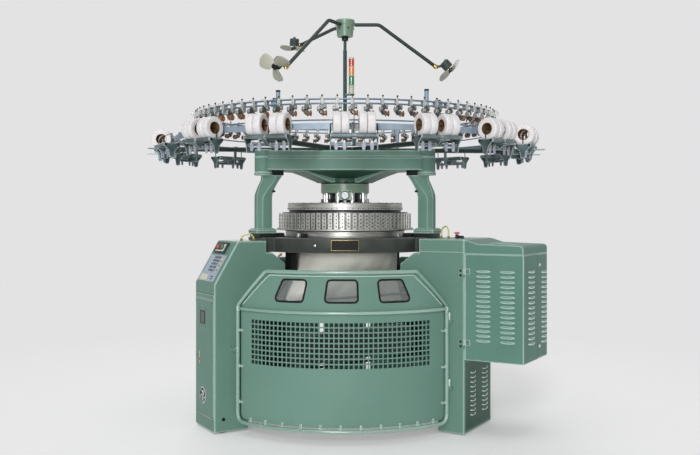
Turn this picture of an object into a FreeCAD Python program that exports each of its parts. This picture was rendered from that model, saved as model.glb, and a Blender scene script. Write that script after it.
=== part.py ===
import FreeCAD, Part
import math
import os

# Large circular double-jersey knitting machine. Millimetres, +Z up. The origin is the floor
# point under the machine's axis, and the front (the side of the main gate) faces -Y.
# Azimuths are degrees round the axis: 0 is the front, +90 is the right-hand side (+X).
# Pieces that stand round the axis are drawn along +X and turned to their azimuth.

Vector = FreeCAD.Vector
UP = Vector(0, 0, 1)
OUT = Vector(1, 0, 0)
ACROSS = Vector(0, 1, 0)

# ---------------------------------------------------------------- driving sizes
GAP = 0.3                   # clearance between pieces that only lie side by side
RUNNING = 0.05              # radial clearance of a shaft in its bearing
SHEET = 4.0                 # wall of the cabinet
BORE_SIDES = 12             # flats of small shafts and of their bores
RING_SIDES = 36             # flats of the large rings
DRUM_SIDES = 48             # flats of the bed and the needle cylinder

# legs
CONTROL_AZIMUTH = -60.0
DRIVE_AZIMUTH = 60.0
REAR_AZIMUTH = 180.0
CONTROL_WIDTH = 369.0
DRIVE_WIDTH = 515.0
REAR_WIDTH = 369.0
CONTROL_REACH = 1157.0      # from the axis to the leg's outer face
DRIVE_REACH = 1102.0
REAR_REACH = 1130.0
DRIVE_TOP = 1362.0
LEG_TOP = 1346.0
LEG_WALL = 8.0
LEG_BOTTOM = 10.0
LEG_INNER = 900.0           # inner face of the lower leg
BRACKET_INNER = 606.0       # inner end of the bracket under the bed
BRACKET_BOTTOM = 1105.0
BRACKET_TOP = 1182.0
BRACKET_ROOT = 820.0        # where the bracket's underside meets the leg
SHELF_DEEP = 42.0           # flat rest for the bed's ear
CONSOLE_RUN = 178.0         # sloping console at a leg's head
CONSOLE_RISE = 301.0
FOOT_RADIUS = 45.0
FOOT_STUD = 14.0
FOOT_STUD_RISE = 60.0
FOOT_SPREAD = 110.0         # from a leg's centre plane to each foot
FOOT_INSET = 80.0           # from a leg's outer face to its feet

# control console
SWITCH_WIDTH = 190.0
SWITCH_LENGTH = 84.0
SWITCH_THICK = 18.0
SWITCH_ACROSS = -25.0
SWITCH_ALONG = 111.0
SWITCH_RECESS = 6.0
SWITCH_BORDER = 16.0
BUTTON_RADIUS = 15.0
BUTTON_RISE = 9.0
BUTTON_TRAVEL = 3.0
BUTTON_SPREAD = 40.0
KEYPAD_WIDTH = 299.0
KEYPAD_LENGTH = 213.0
KEYPAD_THICK = 3.0
KEYPAD_ACROSS = -17.0
KEYPAD_ALONG = -51.0
KEY_SIZE = 20.0
KEY_PITCH = 30.0
KEY_COLUMNS = 4
KEY_ROWS = 4
KEY_ACROSS = 32.0
KEY_ALONG = -26.0
KEY_RISE = 1.5
SCREEN_WIDTH = 146.0
SCREEN_LENGTH = 42.0
SCREEN_ACROSS = 0.0
SCREEN_ALONG = -128.0
COUNTER_SIDE = 86.0
COUNTER_ACROSS = -35.0
COUNTER_HEIGHT = 800.0
COVER_LOW = 96.0
COVER_HIGH = 932.0
COVER_WIDTH = 340.0
COVER_SHEET = 3.0
VENT_RADIUS = 60.0
VENT_ACROSS = -25.0
VENT_HEIGHT = 242.0
VENT_DEEP = 5.0

# bed and drive
BED_RADIUS = 690.0
BED_BOTTOM = 1262.0
BED_THICK = 105.0
BED_WALL = 18.0
BED_MOUTH = 560.0           # opening of the bed's bottom plate
BED_HOLE = 440.0            # opening of the bed's top plate
BED_EAR = 756.0             # reach of the ears that sit on the legs
BED_EAR_WIDTH = 280.0
GEAR_TIP = 606.0
GEAR_TEETH = 72
GEAR_THICK = 44.0
GEAR_BORE = 408.0
PINION_TEETH = 8
TOOTH_DEPTH = 22.0
TOOTH_CLEARANCE = 2.0
RACE_INNER = 566.0
RACE_OUTER = 584.0
RACE_HIGH = 14.0
PINION_SHAFT = 20.0
SHAFT_ROOM = 12.0           # round the main shaft, where it passes a leg
BED_CLEARANCE = 8.0         # between the gear and the channel it runs in
POCKET_CLEARANCE = 4.0      # between the pinion and its pocket
SHAFT_PULLEY = 42.0
MOTOR_PULLEY = 28.0
PULLEY_SIDES = 24
MOTOR_SHAFT = 14.0
MOTOR_RADIUS = 105.0
MOTOR_HEIGHT = 330.0
MOTOR_AT = 1320.0           # from the machine's axis to the motor's
MOTOR_DROP = 80.0           # from the belt down to the motor's flange
MOTOR_FLANGE = 14.0
MOTOR_SEAT = 50.0           # depth of the motor's shaft in its body
BELT_HEIGHT = 1145.0
BELT_WIDTH = 40.0
BELT_THICK = 4.0

# knitting head
NEEDLE_RADIUS = 432.0       # 34 inch needle circle
NEEDLE_WALL = 26.0
NEEDLE_TOP = 1552.0
FEEDS = 72
CAM_OUTER = 512.0
CAM_INNER = 437.0
CAM_BOTTOM = 1427.0
CAM_HEIGHT = 117.0
CAM_SLOT = 5.0              # slot between two cam boxes
CAM_FLANGE = 536.0
CAM_FLANGE_THICK = 11.0
CAM_FOOT = 466.0
DIAL_RADIUS = 429.0
DIAL_THICK = 11.0
DIAL_BOSS = 95.0
DIAL_SHAFT = 40.0
DIAL_CAM_OUTER = 447.0
DIAL_CAM_BAND = 70.0
DIAL_CAM_BOTTOM = 1566.0
DIAL_CAM_HEIGHT = 53.0
HUB_RADIUS = 187.0
HUB_BOTTOM = 1697.0
HUB_HEIGHT = 72.0
BOSS_RADIUS = 150.0         # round boss between crown and hub
PILLARS = 9
PILLAR_RADIUS = 17.0
PILLAR_CIRCLE = 160.0
GAUGE_RADIUS = 34.0
GAUGE_THICK = 14.0
GAUGE_BLOCK = 104.0
KNOB_RADIUS = 14.0
KNOB_LENGTH = 26.0
KNOB_SHAFT = 6.0
KNOB_HEIGHT = 1786.0
KNOB_REACH = 258.0

# uprights and crown
UPRIGHT_OUTER = 760.0
UPRIGHT_INNER = 650.0
UPRIGHT_WIDTH = 110.0
UPRIGHT_HEAD_OUTER = 713.0
UPRIGHT_HEAD_INNER = 565.0
UPRIGHT_THROAT = 620.0
UPRIGHT_SHOULDER = 150.0
UPRIGHT_CHAMFER = 22.0
UPRIGHT_FOOT = 30.0
UPRIGHT_FOOT_WIDTH = 160.0
UPRIGHT_FOOT_OVER = 25.0
CROWN_BOTTOM = 1861.0
CROWN_THICK = 147.0
CROWN_CORNER = 697.0
CROWN_HALF = 71.0
CROWN_BOSS = 66.0
CROWN_BOSS_DROP = 37.0
CROWN_BOSS_RISE = 6.0
CROWN_CONE = 430.0
CROWN_CONE_DROP = 84.0

# gates
GATE_RADIUS = 1030.0
GATE_TUBE = 13.0
GATE_SIDES = 6
GATE_RUNS = 10              # straight runs that make up a hoop
GATE_LEFT = 46.7            # degrees from the gate's middle to its posts
GATE_RIGHT = 43.5
GATE_BOTTOM = 90.0
GATE_MIDDLE = 879.0
GATE_TOP = 1150.0
GATE_BEND = 60.0
GATE_SHOULDER = 15.2        # degrees between a post and the end of the top tube
PANEL_SHEET = 3.0
PANEL_GAP = 8.0             # open line between panel and frame tubes
TAB_WIDTH = 16.0
FRONT_TABS = 8
REAR_TABS = 4
PANEL_RUNS = 24             # flat runs that make up a bent sheet
HOLE_ROWS = 4
HOLE_COLUMNS = 20
HOLE_WIDE = 46.0
HOLE_HIGH = 62.0
HOLE_TOP = 809.0
HOLE_PITCH = 80.0
WINDOW_TOP = 1101.0
WINDOW_BOTTOM = 945.0
WINDOW_CHAMFER = 22.0
SEAL_WIDTH = 9.0
SEAL_PROUD = 3.0
PANE_THICK = 4.0
HINGE_CIRCLE = 1035.0       # radius of the gates' hinge axes about the machine's axis
HINGE_OFFSET = 17.5         # from a leg's side face to a gate's hinge axis
HINGE_PIN = 6.0
HINGE_EYE = 11.0
HINGE_EYE_LONG = 50.0
HINGE_LOW = 338.0
HINGE_HIGH = 803.0
CATCH_HEIGHT = 590.0
CATCH_LEVER = 54.0
REST_LENGTH = 28.0          # rest for the catch, on the control leg
REST_DEEP = 18.0
REST_HIGH = 40.0
CATCH_THICK = 6.0
CATCH_PIN = 6.0

# drive cabinet
CABINET_END = 1528.0
CABINET_BOTTOM = 528.0
CABINET_TOP = 1262.0
DOOR_SHEET = 3.0
DOOR_RETURN = 290.0         # how far the door wraps round the cabinet's end
DOOR_PIN = 3.0
DOOR_EYE = 6.5
DOOR_EYE_LONG = 40.0
DOOR_EDGE = 8.0             # from the cabinet's inner end to the edge of its door
DOOR_HINGE_LOW = 630.0
DOOR_HINGE_HIGH = 1122.0
LOUVRE_ROWS = 12
LOUVRE_PITCH = 41.0
LOUVRE_LENGTH = 100.0
LOUVRE_RISE = 9.0
LOUVRE_HIGH = 20.0
LOUVRE_LOW = 664.0
LEG_LOUVRE_ROWS = 8
LEG_LOUVRE_LOW = 108.0
LID_BACK = 101.0            # rise of the lid where it meets the leg
LID_FRONT = 63.0
LID_ROUND = 44.0
HANDLE_HIGH = 1184.0
HANDLE_LOW = 615.0
HANDLE_ACROSS = 73.0
HANDLE_SHAFT = 8.0
HANDLE_ROSE = 15.0
HANDLE_GRIP = 38.0

# yarn feeding rings
FEEDER_RADIUS = 1130.0
FEEDER_UPPER = 2293.0
FEEDER_LOWER = 2264.0
RAIL_HIGH = 9.0
RAIL_DEEP = 26.0
FEEDER_DROP = 76.0
FEEDER_BODY = 34.0
WHEEL_RADIUS = 20.0
WHEEL_WIDTH = 26.0
WHEEL_SIDES = 5
GUIDE_RING_HEIGHT = 2155.0
GUIDE_RING_WIRE = 5.0
SPOOL_RING = 1305.0
SPOOL_RING_HEIGHT = 2098.0
SPOOL_RING_BAND = 40.0
SPOOL_RING_THICK = 8.0
UNITS = 16
UNIT_PHASE = 2.3
UNIT_RADIUS = 1400.0
UNIT_HALF = 150.0
UNIT_REACH = 1535.0
LADEN_UNITS = (-4, -2, -1, 0, 1, 2, 3)      # places that carry spools, counted from the front
SPOOL_RADIUS = 75.0
SPOOL_WIDTH = 52.0
SPOOL_BORE = 37.5
SPOOL_START = 30.0          # from a unit's middle to its first spool
SPOOL_HEIGHT = 2105.0
SPOOL_SIDES = 12
SPOOL_BORE_SIDES = 6
ROLLER_RADIUS = 14.0
ROLLER_SIDES = 6
ARMS = 6
ARM_PHASE = 35.0
ARM_HEIGHT = 2034.0
ARM_DEEP = 34.0
ARM_WIDE = 30.0
ARM_HUB = 120.0
POST_SIDE = 26.0
POST_TOP = 2312.0
ROUND_POST = 16.0
ROUND_POST_TOP = 2463.0

# mast, lamp and fans
MAST_RADIUS = 15.0
MAST_SHOULDER = 2815.0
MAST_THIN = 12.0
MAST_PIN = 60.0             # how far the mast rises into the fan hub
COLLAR_HEIGHT = 2886.0
HUB_LOW = 2916.0
HUB_TOP = 3046.0
FAN_HUB = 70.0
FAN_HUB_CAP = 76.0
FAN_HUB_CAP_HIGH = 42.0
LAMP_AT = 35.0
LAMP_RADIUS = 23.0
LAMP_BASE = 2472.0
GREEN_LOW = 2541.0
AMBER_LOW = 2612.0
RED_LOW = 2686.0
LAMP_CAP = 2741.0
LAMP_TOP = 2760.0
ARM_TUBE = 14.0
ARM_TUBE_SIDES = 6
MOTOR_CAN = 40.0
MOTOR_CAN_LONG = 66.0
ROTOR_RADIUS = 120.0
ROTOR_HUB = 24.0
ROTOR_HUB_LONG = 26.0
ROTOR_SHAFT = 5.0
ROTOR_SEAT = 30.0           # depth of a rotor's shaft in its motor
ROTOR_GAP = 8.0
BLADES = 3
BLADE_WIDE = 92.0
BLADE_THICK = 3.0
BLADE_PITCH = 28.0

# take-down under the cylinder, which turns with it
ROLLER_AZIMUTH = -50.0      # direction of the rollers' axes
TAKEDOWN_HALF = 690.0       # from the axis to a side plate's outer face
TAKEDOWN_SHEET = 14.0
TAKEDOWN_WIDE = 300.0
TAKEDOWN_TOP = 930.0
TAKEDOWN_BOTTOM = 380.0
HANGER_INNER = 500.0
HANGER_OUTER = 545.0
HANGER_WIDE = 80.0
HANGER_KNEE = 1125.0
NIP_RADIUS = 35.0
NIP_HEIGHT = 800.0
JOURNAL = 15.0
CLOTH_ROLL = 120.0
CLOTH_ROLL_HEIGHT = 520.0
CLOTH_WIDTH = 1250.0
FABRIC_RADIUS = 405.2
FABRIC_TOP = 1350.0
FABRIC_NECK = 1240.0
FABRIC_BOTTOM = 812.0
FABRIC_HALF = 610.0         # half width of the flattened fabric
FABRIC_FLAT = 2.0           # half thickness of the flattened fabric
FABRIC_THROAT = 840.0       # height at which it comes together over the nip rollers
FABRIC_CLOSING = 6.0        # half thickness there
FABRIC_FOLDS = 10
FABRIC_FOLD_DEEP = 7.0
TIE_ROD = 10.0


# ---------------------------------------------------------------- shape helpers
def point(azimuth, radius, height):
    """Point at an azimuth, a radius from the axis and a height."""
    turn = math.radians(azimuth)
    return Vector(radius * math.sin(turn), -radius * math.cos(turn), height)


def turned(shape, angle, centre=Vector(0, 0, 0), axis=UP):
    """Copy of a shape turned about an axis."""
    copy = shape.copy()
    copy.rotate(centre, axis, angle)
    return copy


def moved(shape, x, y, z):
    """Copy of a shape moved by a distance."""
    copy = shape.copy()
    copy.translate(Vector(x, y, z))
    return copy


def placed(shape, azimuth):
    """Copy of a shape that was drawn along +X, turned to an azimuth."""
    return turned(shape, azimuth - 90.0)


def around(shape, count, phase=0.0):
    """Copies of a shape drawn along +X, spread evenly round the axis."""
    return [placed(shape, phase + index * 360.0 / count) for index in range(count)]


def box(x_range, y_range, z_range):
    """Box between pairs of limits."""
    corner = Vector(x_range[0], y_range[0], z_range[0])
    length, width, height = (high - low for low, high in (x_range, y_range, z_range))
    return Part.makeBox(length, width, height, corner)


def ring_points(centre, axis, radius, sides):
    """Corners of a regular polygon square to an axis; the first lies level with the centre."""
    level = axis.cross(UP) if abs(axis.z) < 0.99 else Vector(1, 0, 0)
    level.normalize()
    rise = axis.cross(level).normalize()
    corners = []
    for index in range(sides):
        turn = math.tau * index / sides
        corners.append(centre + level * (radius * math.cos(turn)) + rise * (radius * math.sin(turn)))
    return corners


def closed_face(corners):
    """Flat face inside a loop of corners."""
    return Part.Face(Part.makePolygon(corners + corners[:1]))


def bar(radius, start, end, sides=0):
    """Straight bar between two points: round, or with flat sides where many are alike."""
    run = end - start
    if not sides:
        return Part.makeCylinder(radius, run.Length, start, run)
    axis = Vector(run).normalize()
    return closed_face(ring_points(start, axis, radius, sides)).extrude(run)


def skin(rings):
    """Solid inside a stack of rings of corners, with flat faces between them."""
    faces = [closed_face(rings[0]), closed_face(rings[-1])]
    for near, far in zip(rings, rings[1:]):
        for index in range(len(near)):
            after = (index + 1) % len(near)
            faces.append(closed_face([near[index], near[after], far[after], far[index]]))
    return Part.makeSolid(Part.makeShell(faces))


def tube(path, radius, sides):
    """Bent bar of straight runs with mitred corners and flat sides."""
    run = (path[1] - path[0]).normalize()
    rings = [ring_points(path[0], run, radius, sides)]
    for index in range(1, len(path)):
        run = (path[index] - path[index - 1]).normalize()
        mitre = Vector(run)
        if index + 1 < len(path):
            mitre = run + (path[index + 1] - path[index]).normalize()
        ring = []
        for corner in rings[-1]:
            reach = (path[index] - corner).dot(mitre) / run.dot(mitre)
            ring.append(corner + run * reach)
        rings.append(ring)
    return skin(rings)


def bore(radius, start, end):
    """Cutter for the bore of a shaft, with its running clearance."""
    return bar((radius + RUNNING) / math.cos(math.pi / BORE_SIDES), start, end, BORE_SIDES)


def drum(radius, low, high, sides=RING_SIDES, x=0.0):
    """Upright drum with flat sides between two heights."""
    return bar(radius, Vector(x, 0, low), Vector(x, 0, high), sides)


def hoop(inner, outer, low, high, sides=RING_SIDES):
    """Ring bent in short straight runs."""
    return drum(outer, low, high, sides).cut(drum(inner, low, high, sides))


def prism(outline, y_low, y_high):
    """Outline of (x, z) points, extruded along Y."""
    face = closed_face([Vector(x, y_low, z) for x, z in outline])
    return face.extrude(Vector(0, y_high - y_low, 0))


def plate(outline, z_low, z_high):
    """Outline of (x, y) points, extruded upwards."""
    face = closed_face([Vector(x, y, z_low) for x, y in outline])
    return face.extrude(Vector(0, 0, z_high - z_low))


def hollow_prism(outline, half, wall):
    """Closed box of even wall on an outline of (x, z) points."""
    inner = closed_face([Vector(x, wall - half, z) for x, z in outline]).makeOffset2D(-wall, 2)
    return prism(outline, -half, half).cut(inner.extrude(Vector(0, 2 * (half - wall), 0)))


def fused(shapes):
    """One solid of shapes that meet."""
    return shapes[0].fuse(shapes[1:]).removeSplitter()


def chamfered(corners, cut):
    """Outline with each corner cut back along both of its sides."""
    outline = []
    for before, corner, after in zip(corners[-1:] + corners[:-1], corners, corners[1:] + corners[:1]):
        for other in (before, after):
            reach = cut / math.dist(corner, other)
            outline.append(tuple(c + (o - c) * reach for c, o in zip(corner, other)))
    return outline


def louvres(length, rows, pitch):
    """Pressed louvres one above another, standing out of the plane x = 0 towards +X."""
    section = [(0.0, 0.0), (LOUVRE_RISE, 3.0), (0.0, LOUVRE_HIGH)]
    one = prism(section, -length / 2, length / 2)
    return [moved(one, 0, 0, row * pitch) for row in range(rows)]


def export(name, shapes):
    """Write one node. Every solid of a list stays a solid of its own."""
    solids = []
    for shape in shapes if isinstance(shapes, list) else [shapes]:
        solids.extend(shape.Solids)
    for solid in solids:
        if not solid.isValid() or solid.Volume <= 0:
            print("unsound solid in", name)
    result = solids[0] if len(solids) == 1 else Part.makeCompound(solids)
    result.exportStep("parts/" + name + ".step")


# ---------------------------------------------------------------- legs
def leg_outline(reach, top, sloping):
    """Side view of a leg as (radius, height) points."""
    notch = BED_EAR + GAP
    shelf = BED_BOTTOM - GAP
    outline = [(reach, LEG_BOTTOM)]
    if sloping:
        outline += [(reach, top - CONSOLE_RISE), (reach - CONSOLE_RUN, top)]
    else:
        outline += [(reach, top)]
    outline += [
        (notch, top), (notch, shelf), (notch - SHELF_DEEP, shelf), (BRACKET_INNER, BRACKET_TOP),
        (BRACKET_INNER, BRACKET_BOTTOM), (LEG_INNER, BRACKET_ROOT), (LEG_INNER, LEG_BOTTOM),
    ]
    return outline


def foot_places(reach):
    """Plan positions of a leg's two feet, drawn along +X."""
    return [(reach - FOOT_INSET, side * FOOT_SPREAD) for side in (-1, 1)]


def leg_housing(reach, top, width, sloping):
    """Hollow leg with the holes for its feet's studs and for the cables from the floor."""
    shell = hollow_prism(leg_outline(reach, top, sloping), width / 2, LEG_WALL)
    floor = (LEG_BOTTOM, LEG_BOTTOM + LEG_WALL)
    tools = [box((reach - 190, reach - 130), (-50, 50), floor)]
    for x, y in foot_places(reach):
        ends = [Vector(x, y, z) for z in floor]
        tools.append(bar(FOOT_STUD + GAP, ends[0], ends[1], BORE_SIDES))
    return shell.cut(tools)


def levelling_foot(x, y):
    """Pad with a stud that rises through the leg's bottom plate."""
    floor, pad_top, stud_top = (Vector(x, y, z) for z in (0.0, LEG_BOTTOM - GAP, FOOT_STUD_RISE))
    pad = bar(FOOT_RADIUS, floor, pad_top, BORE_SIDES)
    return fused([pad, bar(FOOT_STUD, pad_top, stud_top, BORE_SIDES)])


def make_legs():
    """Three leg housings and their levelling feet."""
    control = leg_housing(CONTROL_REACH, LEG_TOP, CONTROL_WIDTH, True)
    export("control_leg", placed(control, CONTROL_AZIMUTH))
    rear = leg_housing(REAR_REACH, LEG_TOP, REAR_WIDTH, True)
    export("rear_leg", placed(rear, REAR_AZIMUTH))
    export("drive_leg", placed(drive_leg(), DRIVE_AZIMUTH))
    feet = []
    legs = ((CONTROL_REACH, CONTROL_AZIMUTH), (DRIVE_REACH, DRIVE_AZIMUTH), (REAR_REACH, REAR_AZIMUTH))
    for reach, azimuth in legs:
        feet += [placed(levelling_foot(x, y), azimuth) for x, y in foot_places(reach)]
    export("levelling_feet", feet)


def drive_leg():
    """Leg on the drive side: belt window, shaft hole under the bed and louvred outer plate."""
    shell = leg_housing(DRIVE_REACH, DRIVE_TOP, DRIVE_WIDTH, False)
    half = belt_way()
    heights = (BELT_HEIGHT - BELT_WIDTH, BELT_HEIGHT + BELT_WIDTH)
    window = box((DRIVE_REACH - 2 * LEG_WALL, DRIVE_REACH + LEG_WALL), (-half, half), heights)
    shaft_hole = drum(PINION_SHAFT + SHAFT_ROOM, BRACKET_TOP, BED_BOTTOM, BORE_SIDES, shaft_at())
    shell = shell.cut([window, shaft_hole])
    pressed = []
    for across, length in ((-100.0, 85.0), (128.0, 100.0)):
        for one in louvres(length, LEG_LOUVRE_ROWS, LOUVRE_PITCH):
            pressed.append(moved(one, DRIVE_REACH, across, LEG_LOUVRE_LOW))
    return fused([shell] + pressed)


# ---------------------------------------------------------------- control leg fittings
def on_console(shape):
    """Place a shape drawn flat (x across, y up the slope, z outwards) on the control console."""
    middle = Vector(CONTROL_REACH - CONSOLE_RUN / 2, 0, LEG_TOP - CONSOLE_RISE / 2)
    up_slope = Vector(-CONSOLE_RUN, 0, CONSOLE_RISE).normalize()
    normal = Vector(CONSOLE_RISE, 0, CONSOLE_RUN).normalize()
    matrix = FreeCAD.Matrix(
        0, up_slope.x, normal.x, middle.x,
        1, up_slope.y, normal.y, middle.y,
        0, up_slope.z, normal.z, middle.z)
    copy = shape.copy()
    copy.Placement = FreeCAD.Placement(matrix).multiply(copy.Placement)
    return placed(copy, CONTROL_AZIMUTH)


def flat_box(across, along, width, length, low, high):
    """Box on the console, by its middle and size."""
    x_range = (across - width / 2, across + width / 2)
    return box(x_range, (along - length / 2, along + length / 2), (low, high))


def make_console():
    """Keypad plate, keys, display, switch block and the two push buttons."""
    keypad = flat_box(KEYPAD_ACROSS, KEYPAD_ALONG, KEYPAD_WIDTH, KEYPAD_LENGTH, 0, KEYPAD_THICK)
    block = flat_box(SWITCH_ACROSS, SWITCH_ALONG, SWITCH_WIDTH, SWITCH_LENGTH, 0, SWITCH_THICK)
    floor = SWITCH_THICK - SWITCH_RECESS
    block = block.cut(flat_box(SWITCH_ACROSS, SWITCH_ALONG, SWITCH_WIDTH - 2 * SWITCH_BORDER,
                               SWITCH_LENGTH - 2 * SWITCH_BORDER, floor, SWITCH_THICK))
    for name, side in (("stop_button", -1), ("start_button", 1)):
        across = SWITCH_ACROSS + side * BUTTON_SPREAD
        low = Vector(across, SWITCH_ALONG, BUTTON_TRAVEL + GAP)
        high = Vector(across, SWITCH_ALONG, SWITCH_THICK + BUTTON_RISE)
        block = block.cut(bore(BUTTON_RADIUS, Vector(low.x, low.y, 0), high))
        export(name, on_console(bar(BUTTON_RADIUS, low, high, BORE_SIDES)))
    export("control_plate", [on_console(keypad), on_console(block)])
    keys = []
    for column in range(KEY_COLUMNS):
        for row in range(KEY_ROWS):
            across = KEY_ACROSS + (column - (KEY_COLUMNS - 1) / 2) * KEY_PITCH
            along = KEY_ALONG + (row - (KEY_ROWS - 1) / 2) * KEY_PITCH
            key = flat_box(across, along, KEY_SIZE, KEY_SIZE, KEYPAD_THICK, KEYPAD_THICK + KEY_RISE)
            keys.append(on_console(key))
    screen = flat_box(SCREEN_ACROSS, SCREEN_ALONG, SCREEN_WIDTH, SCREEN_LENGTH,
                      KEYPAD_THICK, KEYPAD_THICK + KEY_RISE)
    half = COUNTER_SIDE / 2
    face = CONTROL_REACH + COVER_SHEET
    counter = box((face, face + 4), (COUNTER_ACROSS - half, COUNTER_ACROSS + half),
                  (COUNTER_HEIGHT - half, COUNTER_HEIGHT + half))
    export("console_inserts", keys + [on_console(screen), placed(counter, CONTROL_AZIMUTH)])


def make_end_cover():
    """Screwed cover on the control leg's outer plate, with its round vent."""
    half = COVER_WIDTH / 2
    face = CONTROL_REACH + COVER_SHEET
    cover = box((CONTROL_REACH, face), (-half, half), (COVER_LOW, COVER_HIGH))
    hole = VENT_RADIUS - 9.0
    ends = [Vector(x, VENT_ACROSS, VENT_HEIGHT) for x in (CONTROL_REACH, face, face + VENT_DEEP)]
    cover = cover.cut(bar(hole, ends[0], ends[1], BORE_SIDES))
    rim = bar(VENT_RADIUS, ends[1], ends[2], BORE_SIDES).cut(bar(hole, ends[1], ends[2], BORE_SIDES))
    slat = box((face, face + VENT_DEEP), (VENT_ACROSS - 3, VENT_ACROSS + 3),
               (VENT_HEIGHT - hole - 2, VENT_HEIGHT + hole + 2))
    slats = [turned(slat, angle, ends[1], OUT) for angle in (0, 60, 120)]
    vent = moved(fused([rim] + slats), GAP, 0, 0)
    export("end_cover", [placed(cover, CONTROL_AZIMUTH), placed(vent, CONTROL_AZIMUTH)])


# ---------------------------------------------------------------- bed and gear train
def gear_pitch():
    """Pitch radius of the ring gear."""
    return GEAR_TIP - TOOTH_DEPTH / 2


def pinion_pitch():
    """Pitch radius of the pinion that drives the ring gear."""
    return gear_pitch() * PINION_TEETH / GEAR_TEETH


def shaft_at():
    """Distance of the main shaft from the machine's axis."""
    return gear_pitch() + pinion_pitch()


def pinion_tip():
    """Tip radius of the pinion."""
    return pinion_pitch() + TOOTH_DEPTH / 2 - TOOTH_CLEARANCE


def gear_low():
    """Underside of the ring gear, just above its race."""
    return BED_BOTTOM + BED_WALL + RACE_HIGH


def belt_way():
    """Half width of the opening that the belt runs through."""
    return SHAFT_PULLEY + 15.0


def toothed(tip, teeth, low, high, phase):
    """Spur gear blank with straight-flanked teeth."""
    pitch = 360.0 / teeth
    corners = ((-0.34, tip - TOOTH_DEPTH), (-0.12, tip), (0.12, tip), (0.34, tip - TOOTH_DEPTH))
    outline = []
    for index in range(teeth):
        for share, radius in corners:
            turn = math.radians((index + share) * pitch + phase)
            outline.append((radius * math.cos(turn), radius * math.sin(turn)))
    return plate(outline, low, high)


def make_bed():
    """Cast bed with its gear channel, three ears and the pinion's pocket, and the race."""
    top = BED_BOTTOM + BED_THICK
    low = BED_BOTTOM + BED_WALL
    high = top - BED_WALL
    half = BED_EAR_WIDTH / 2
    ear = box((0, BED_EAR), (-half, half), (BED_BOTTOM, top))
    body = drum(BED_RADIUS, BED_BOTTOM, top, DRUM_SIDES).fuse(around(ear, 3, CONTROL_AZIMUTH))
    channel = drum(GEAR_TIP + BED_CLEARANCE, low, high)
    pocket = drum(pinion_tip() + POCKET_CLEARANCE, low, high, BORE_SIDES, shaft_at())
    pocket = placed(pocket, DRIVE_AZIMUTH)
    mouth = drum(BED_MOUTH, BED_BOTTOM, low)
    hole = drum(BED_HOLE, high, top)
    shaft = [Vector(shaft_at(), 0, z) for z in (BED_BOTTOM, top)]
    bearing = placed(bore(PINION_SHAFT, shaft[0], shaft[1]), DRIVE_AZIMUTH)
    export("bed", body.cut([channel, pocket, mouth, hole, bearing]).removeSplitter())
    export("bearing_race", hoop(RACE_INNER, RACE_OUTER, low, gear_low() - GAP))


def make_gear_train():
    """Ring gear under the cylinder, and the main shaft with its pinion and pulley."""
    low = gear_low()
    high = low + GEAR_THICK
    gear = toothed(GEAR_TIP, GEAR_TEETH, low, high, 0.0).cut(drum(GEAR_BORE, low, high))
    export("ring_gear", placed(gear, DRIVE_AZIMUTH))
    half_tooth = 180.0 / PINION_TEETH
    pinion = toothed(pinion_tip(), PINION_TEETH, low, high, 180.0 + half_tooth)
    pinion = moved(pinion, shaft_at(), 0, 0)
    shaft = drum(PINION_SHAFT, BELT_HEIGHT - BELT_WIDTH, BED_BOTTOM + BED_THICK, BORE_SIDES, shaft_at())
    half_belt = BELT_WIDTH / 2
    pulley = drum(SHAFT_PULLEY, BELT_HEIGHT - half_belt, BELT_HEIGHT + half_belt, PULLEY_SIDES, shaft_at())
    export("main_shaft", placed(fused([shaft, pinion, pulley]), DRIVE_AZIMUTH))


def make_motor():
    """Flanged motor hung in the cabinet, its pulley and the belt to the main shaft."""
    top = BELT_HEIGHT - MOTOR_DROP
    body = drum(MOTOR_RADIUS, top - MOTOR_HEIGHT, top - MOTOR_FLANGE, PULLEY_SIDES, MOTOR_AT)
    half = MOTOR_RADIUS + 25.0
    flange = box((DRIVE_REACH + SHEET + 2 * GAP, MOTOR_AT + half), (-half, half), (top - MOTOR_FLANGE, top))
    terminals = box((MOTOR_AT - 50, MOTOR_AT + 50), (MOTOR_RADIUS - 15, MOTOR_RADIUS + 45),
                    (top - 190, top - 90))
    motor = fused([body, flange, terminals])
    motor = motor.cut(bore(MOTOR_SHAFT, Vector(MOTOR_AT, 0, top - MOTOR_SEAT), Vector(MOTOR_AT, 0, top)))
    export("main_motor", placed(motor, DRIVE_AZIMUTH))
    low = BELT_HEIGHT - BELT_WIDTH / 2
    shaft = drum(MOTOR_SHAFT, top - MOTOR_SEAT + GAP, low, BORE_SIDES, MOTOR_AT)
    pulley = drum(MOTOR_PULLEY, low, low + BELT_WIDTH, PULLEY_SIDES, MOTOR_AT)
    export("motor_pulley", placed(fused([shaft, pulley]), DRIVE_AZIMUTH))
    belt = belt_loop(GAP + BELT_THICK, low + 2, low + BELT_WIDTH - 2)
    belt = belt.cut(belt_loop(GAP, low, low + BELT_WIDTH))
    export("drive_belt", placed(belt, DRIVE_AZIMUTH))


def belt_loop(offset, low, high):
    """Area inside a belt line that runs a set distance outside both pulleys."""
    rounds = ((shaft_at(), SHAFT_PULLEY + offset), (MOTOR_AT, MOTOR_PULLEY + offset))
    lean = math.asin((rounds[0][1] - rounds[1][1]) / (MOTOR_AT - shaft_at()))
    ends = [(x + r * math.sin(lean), r * math.cos(lean)) for x, r in rounds]
    bridge = plate([ends[0], ends[1], (ends[1][0], -ends[1][1]), (ends[0][0], -ends[0][1])], low, high)
    return fused([bridge] + [drum(r, low, high, PULLEY_SIDES, x) for x, r in rounds])


# ---------------------------------------------------------------- knitting head
def make_cylinder():
    """Needle cylinder, which stands on the ring gear."""
    foot = gear_low() + GEAR_THICK
    cylinder = hoop(NEEDLE_RADIUS - NEEDLE_WALL, NEEDLE_RADIUS, foot, NEEDLE_TOP, DRUM_SIDES)
    export("needle_cylinder", cylinder)


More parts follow.
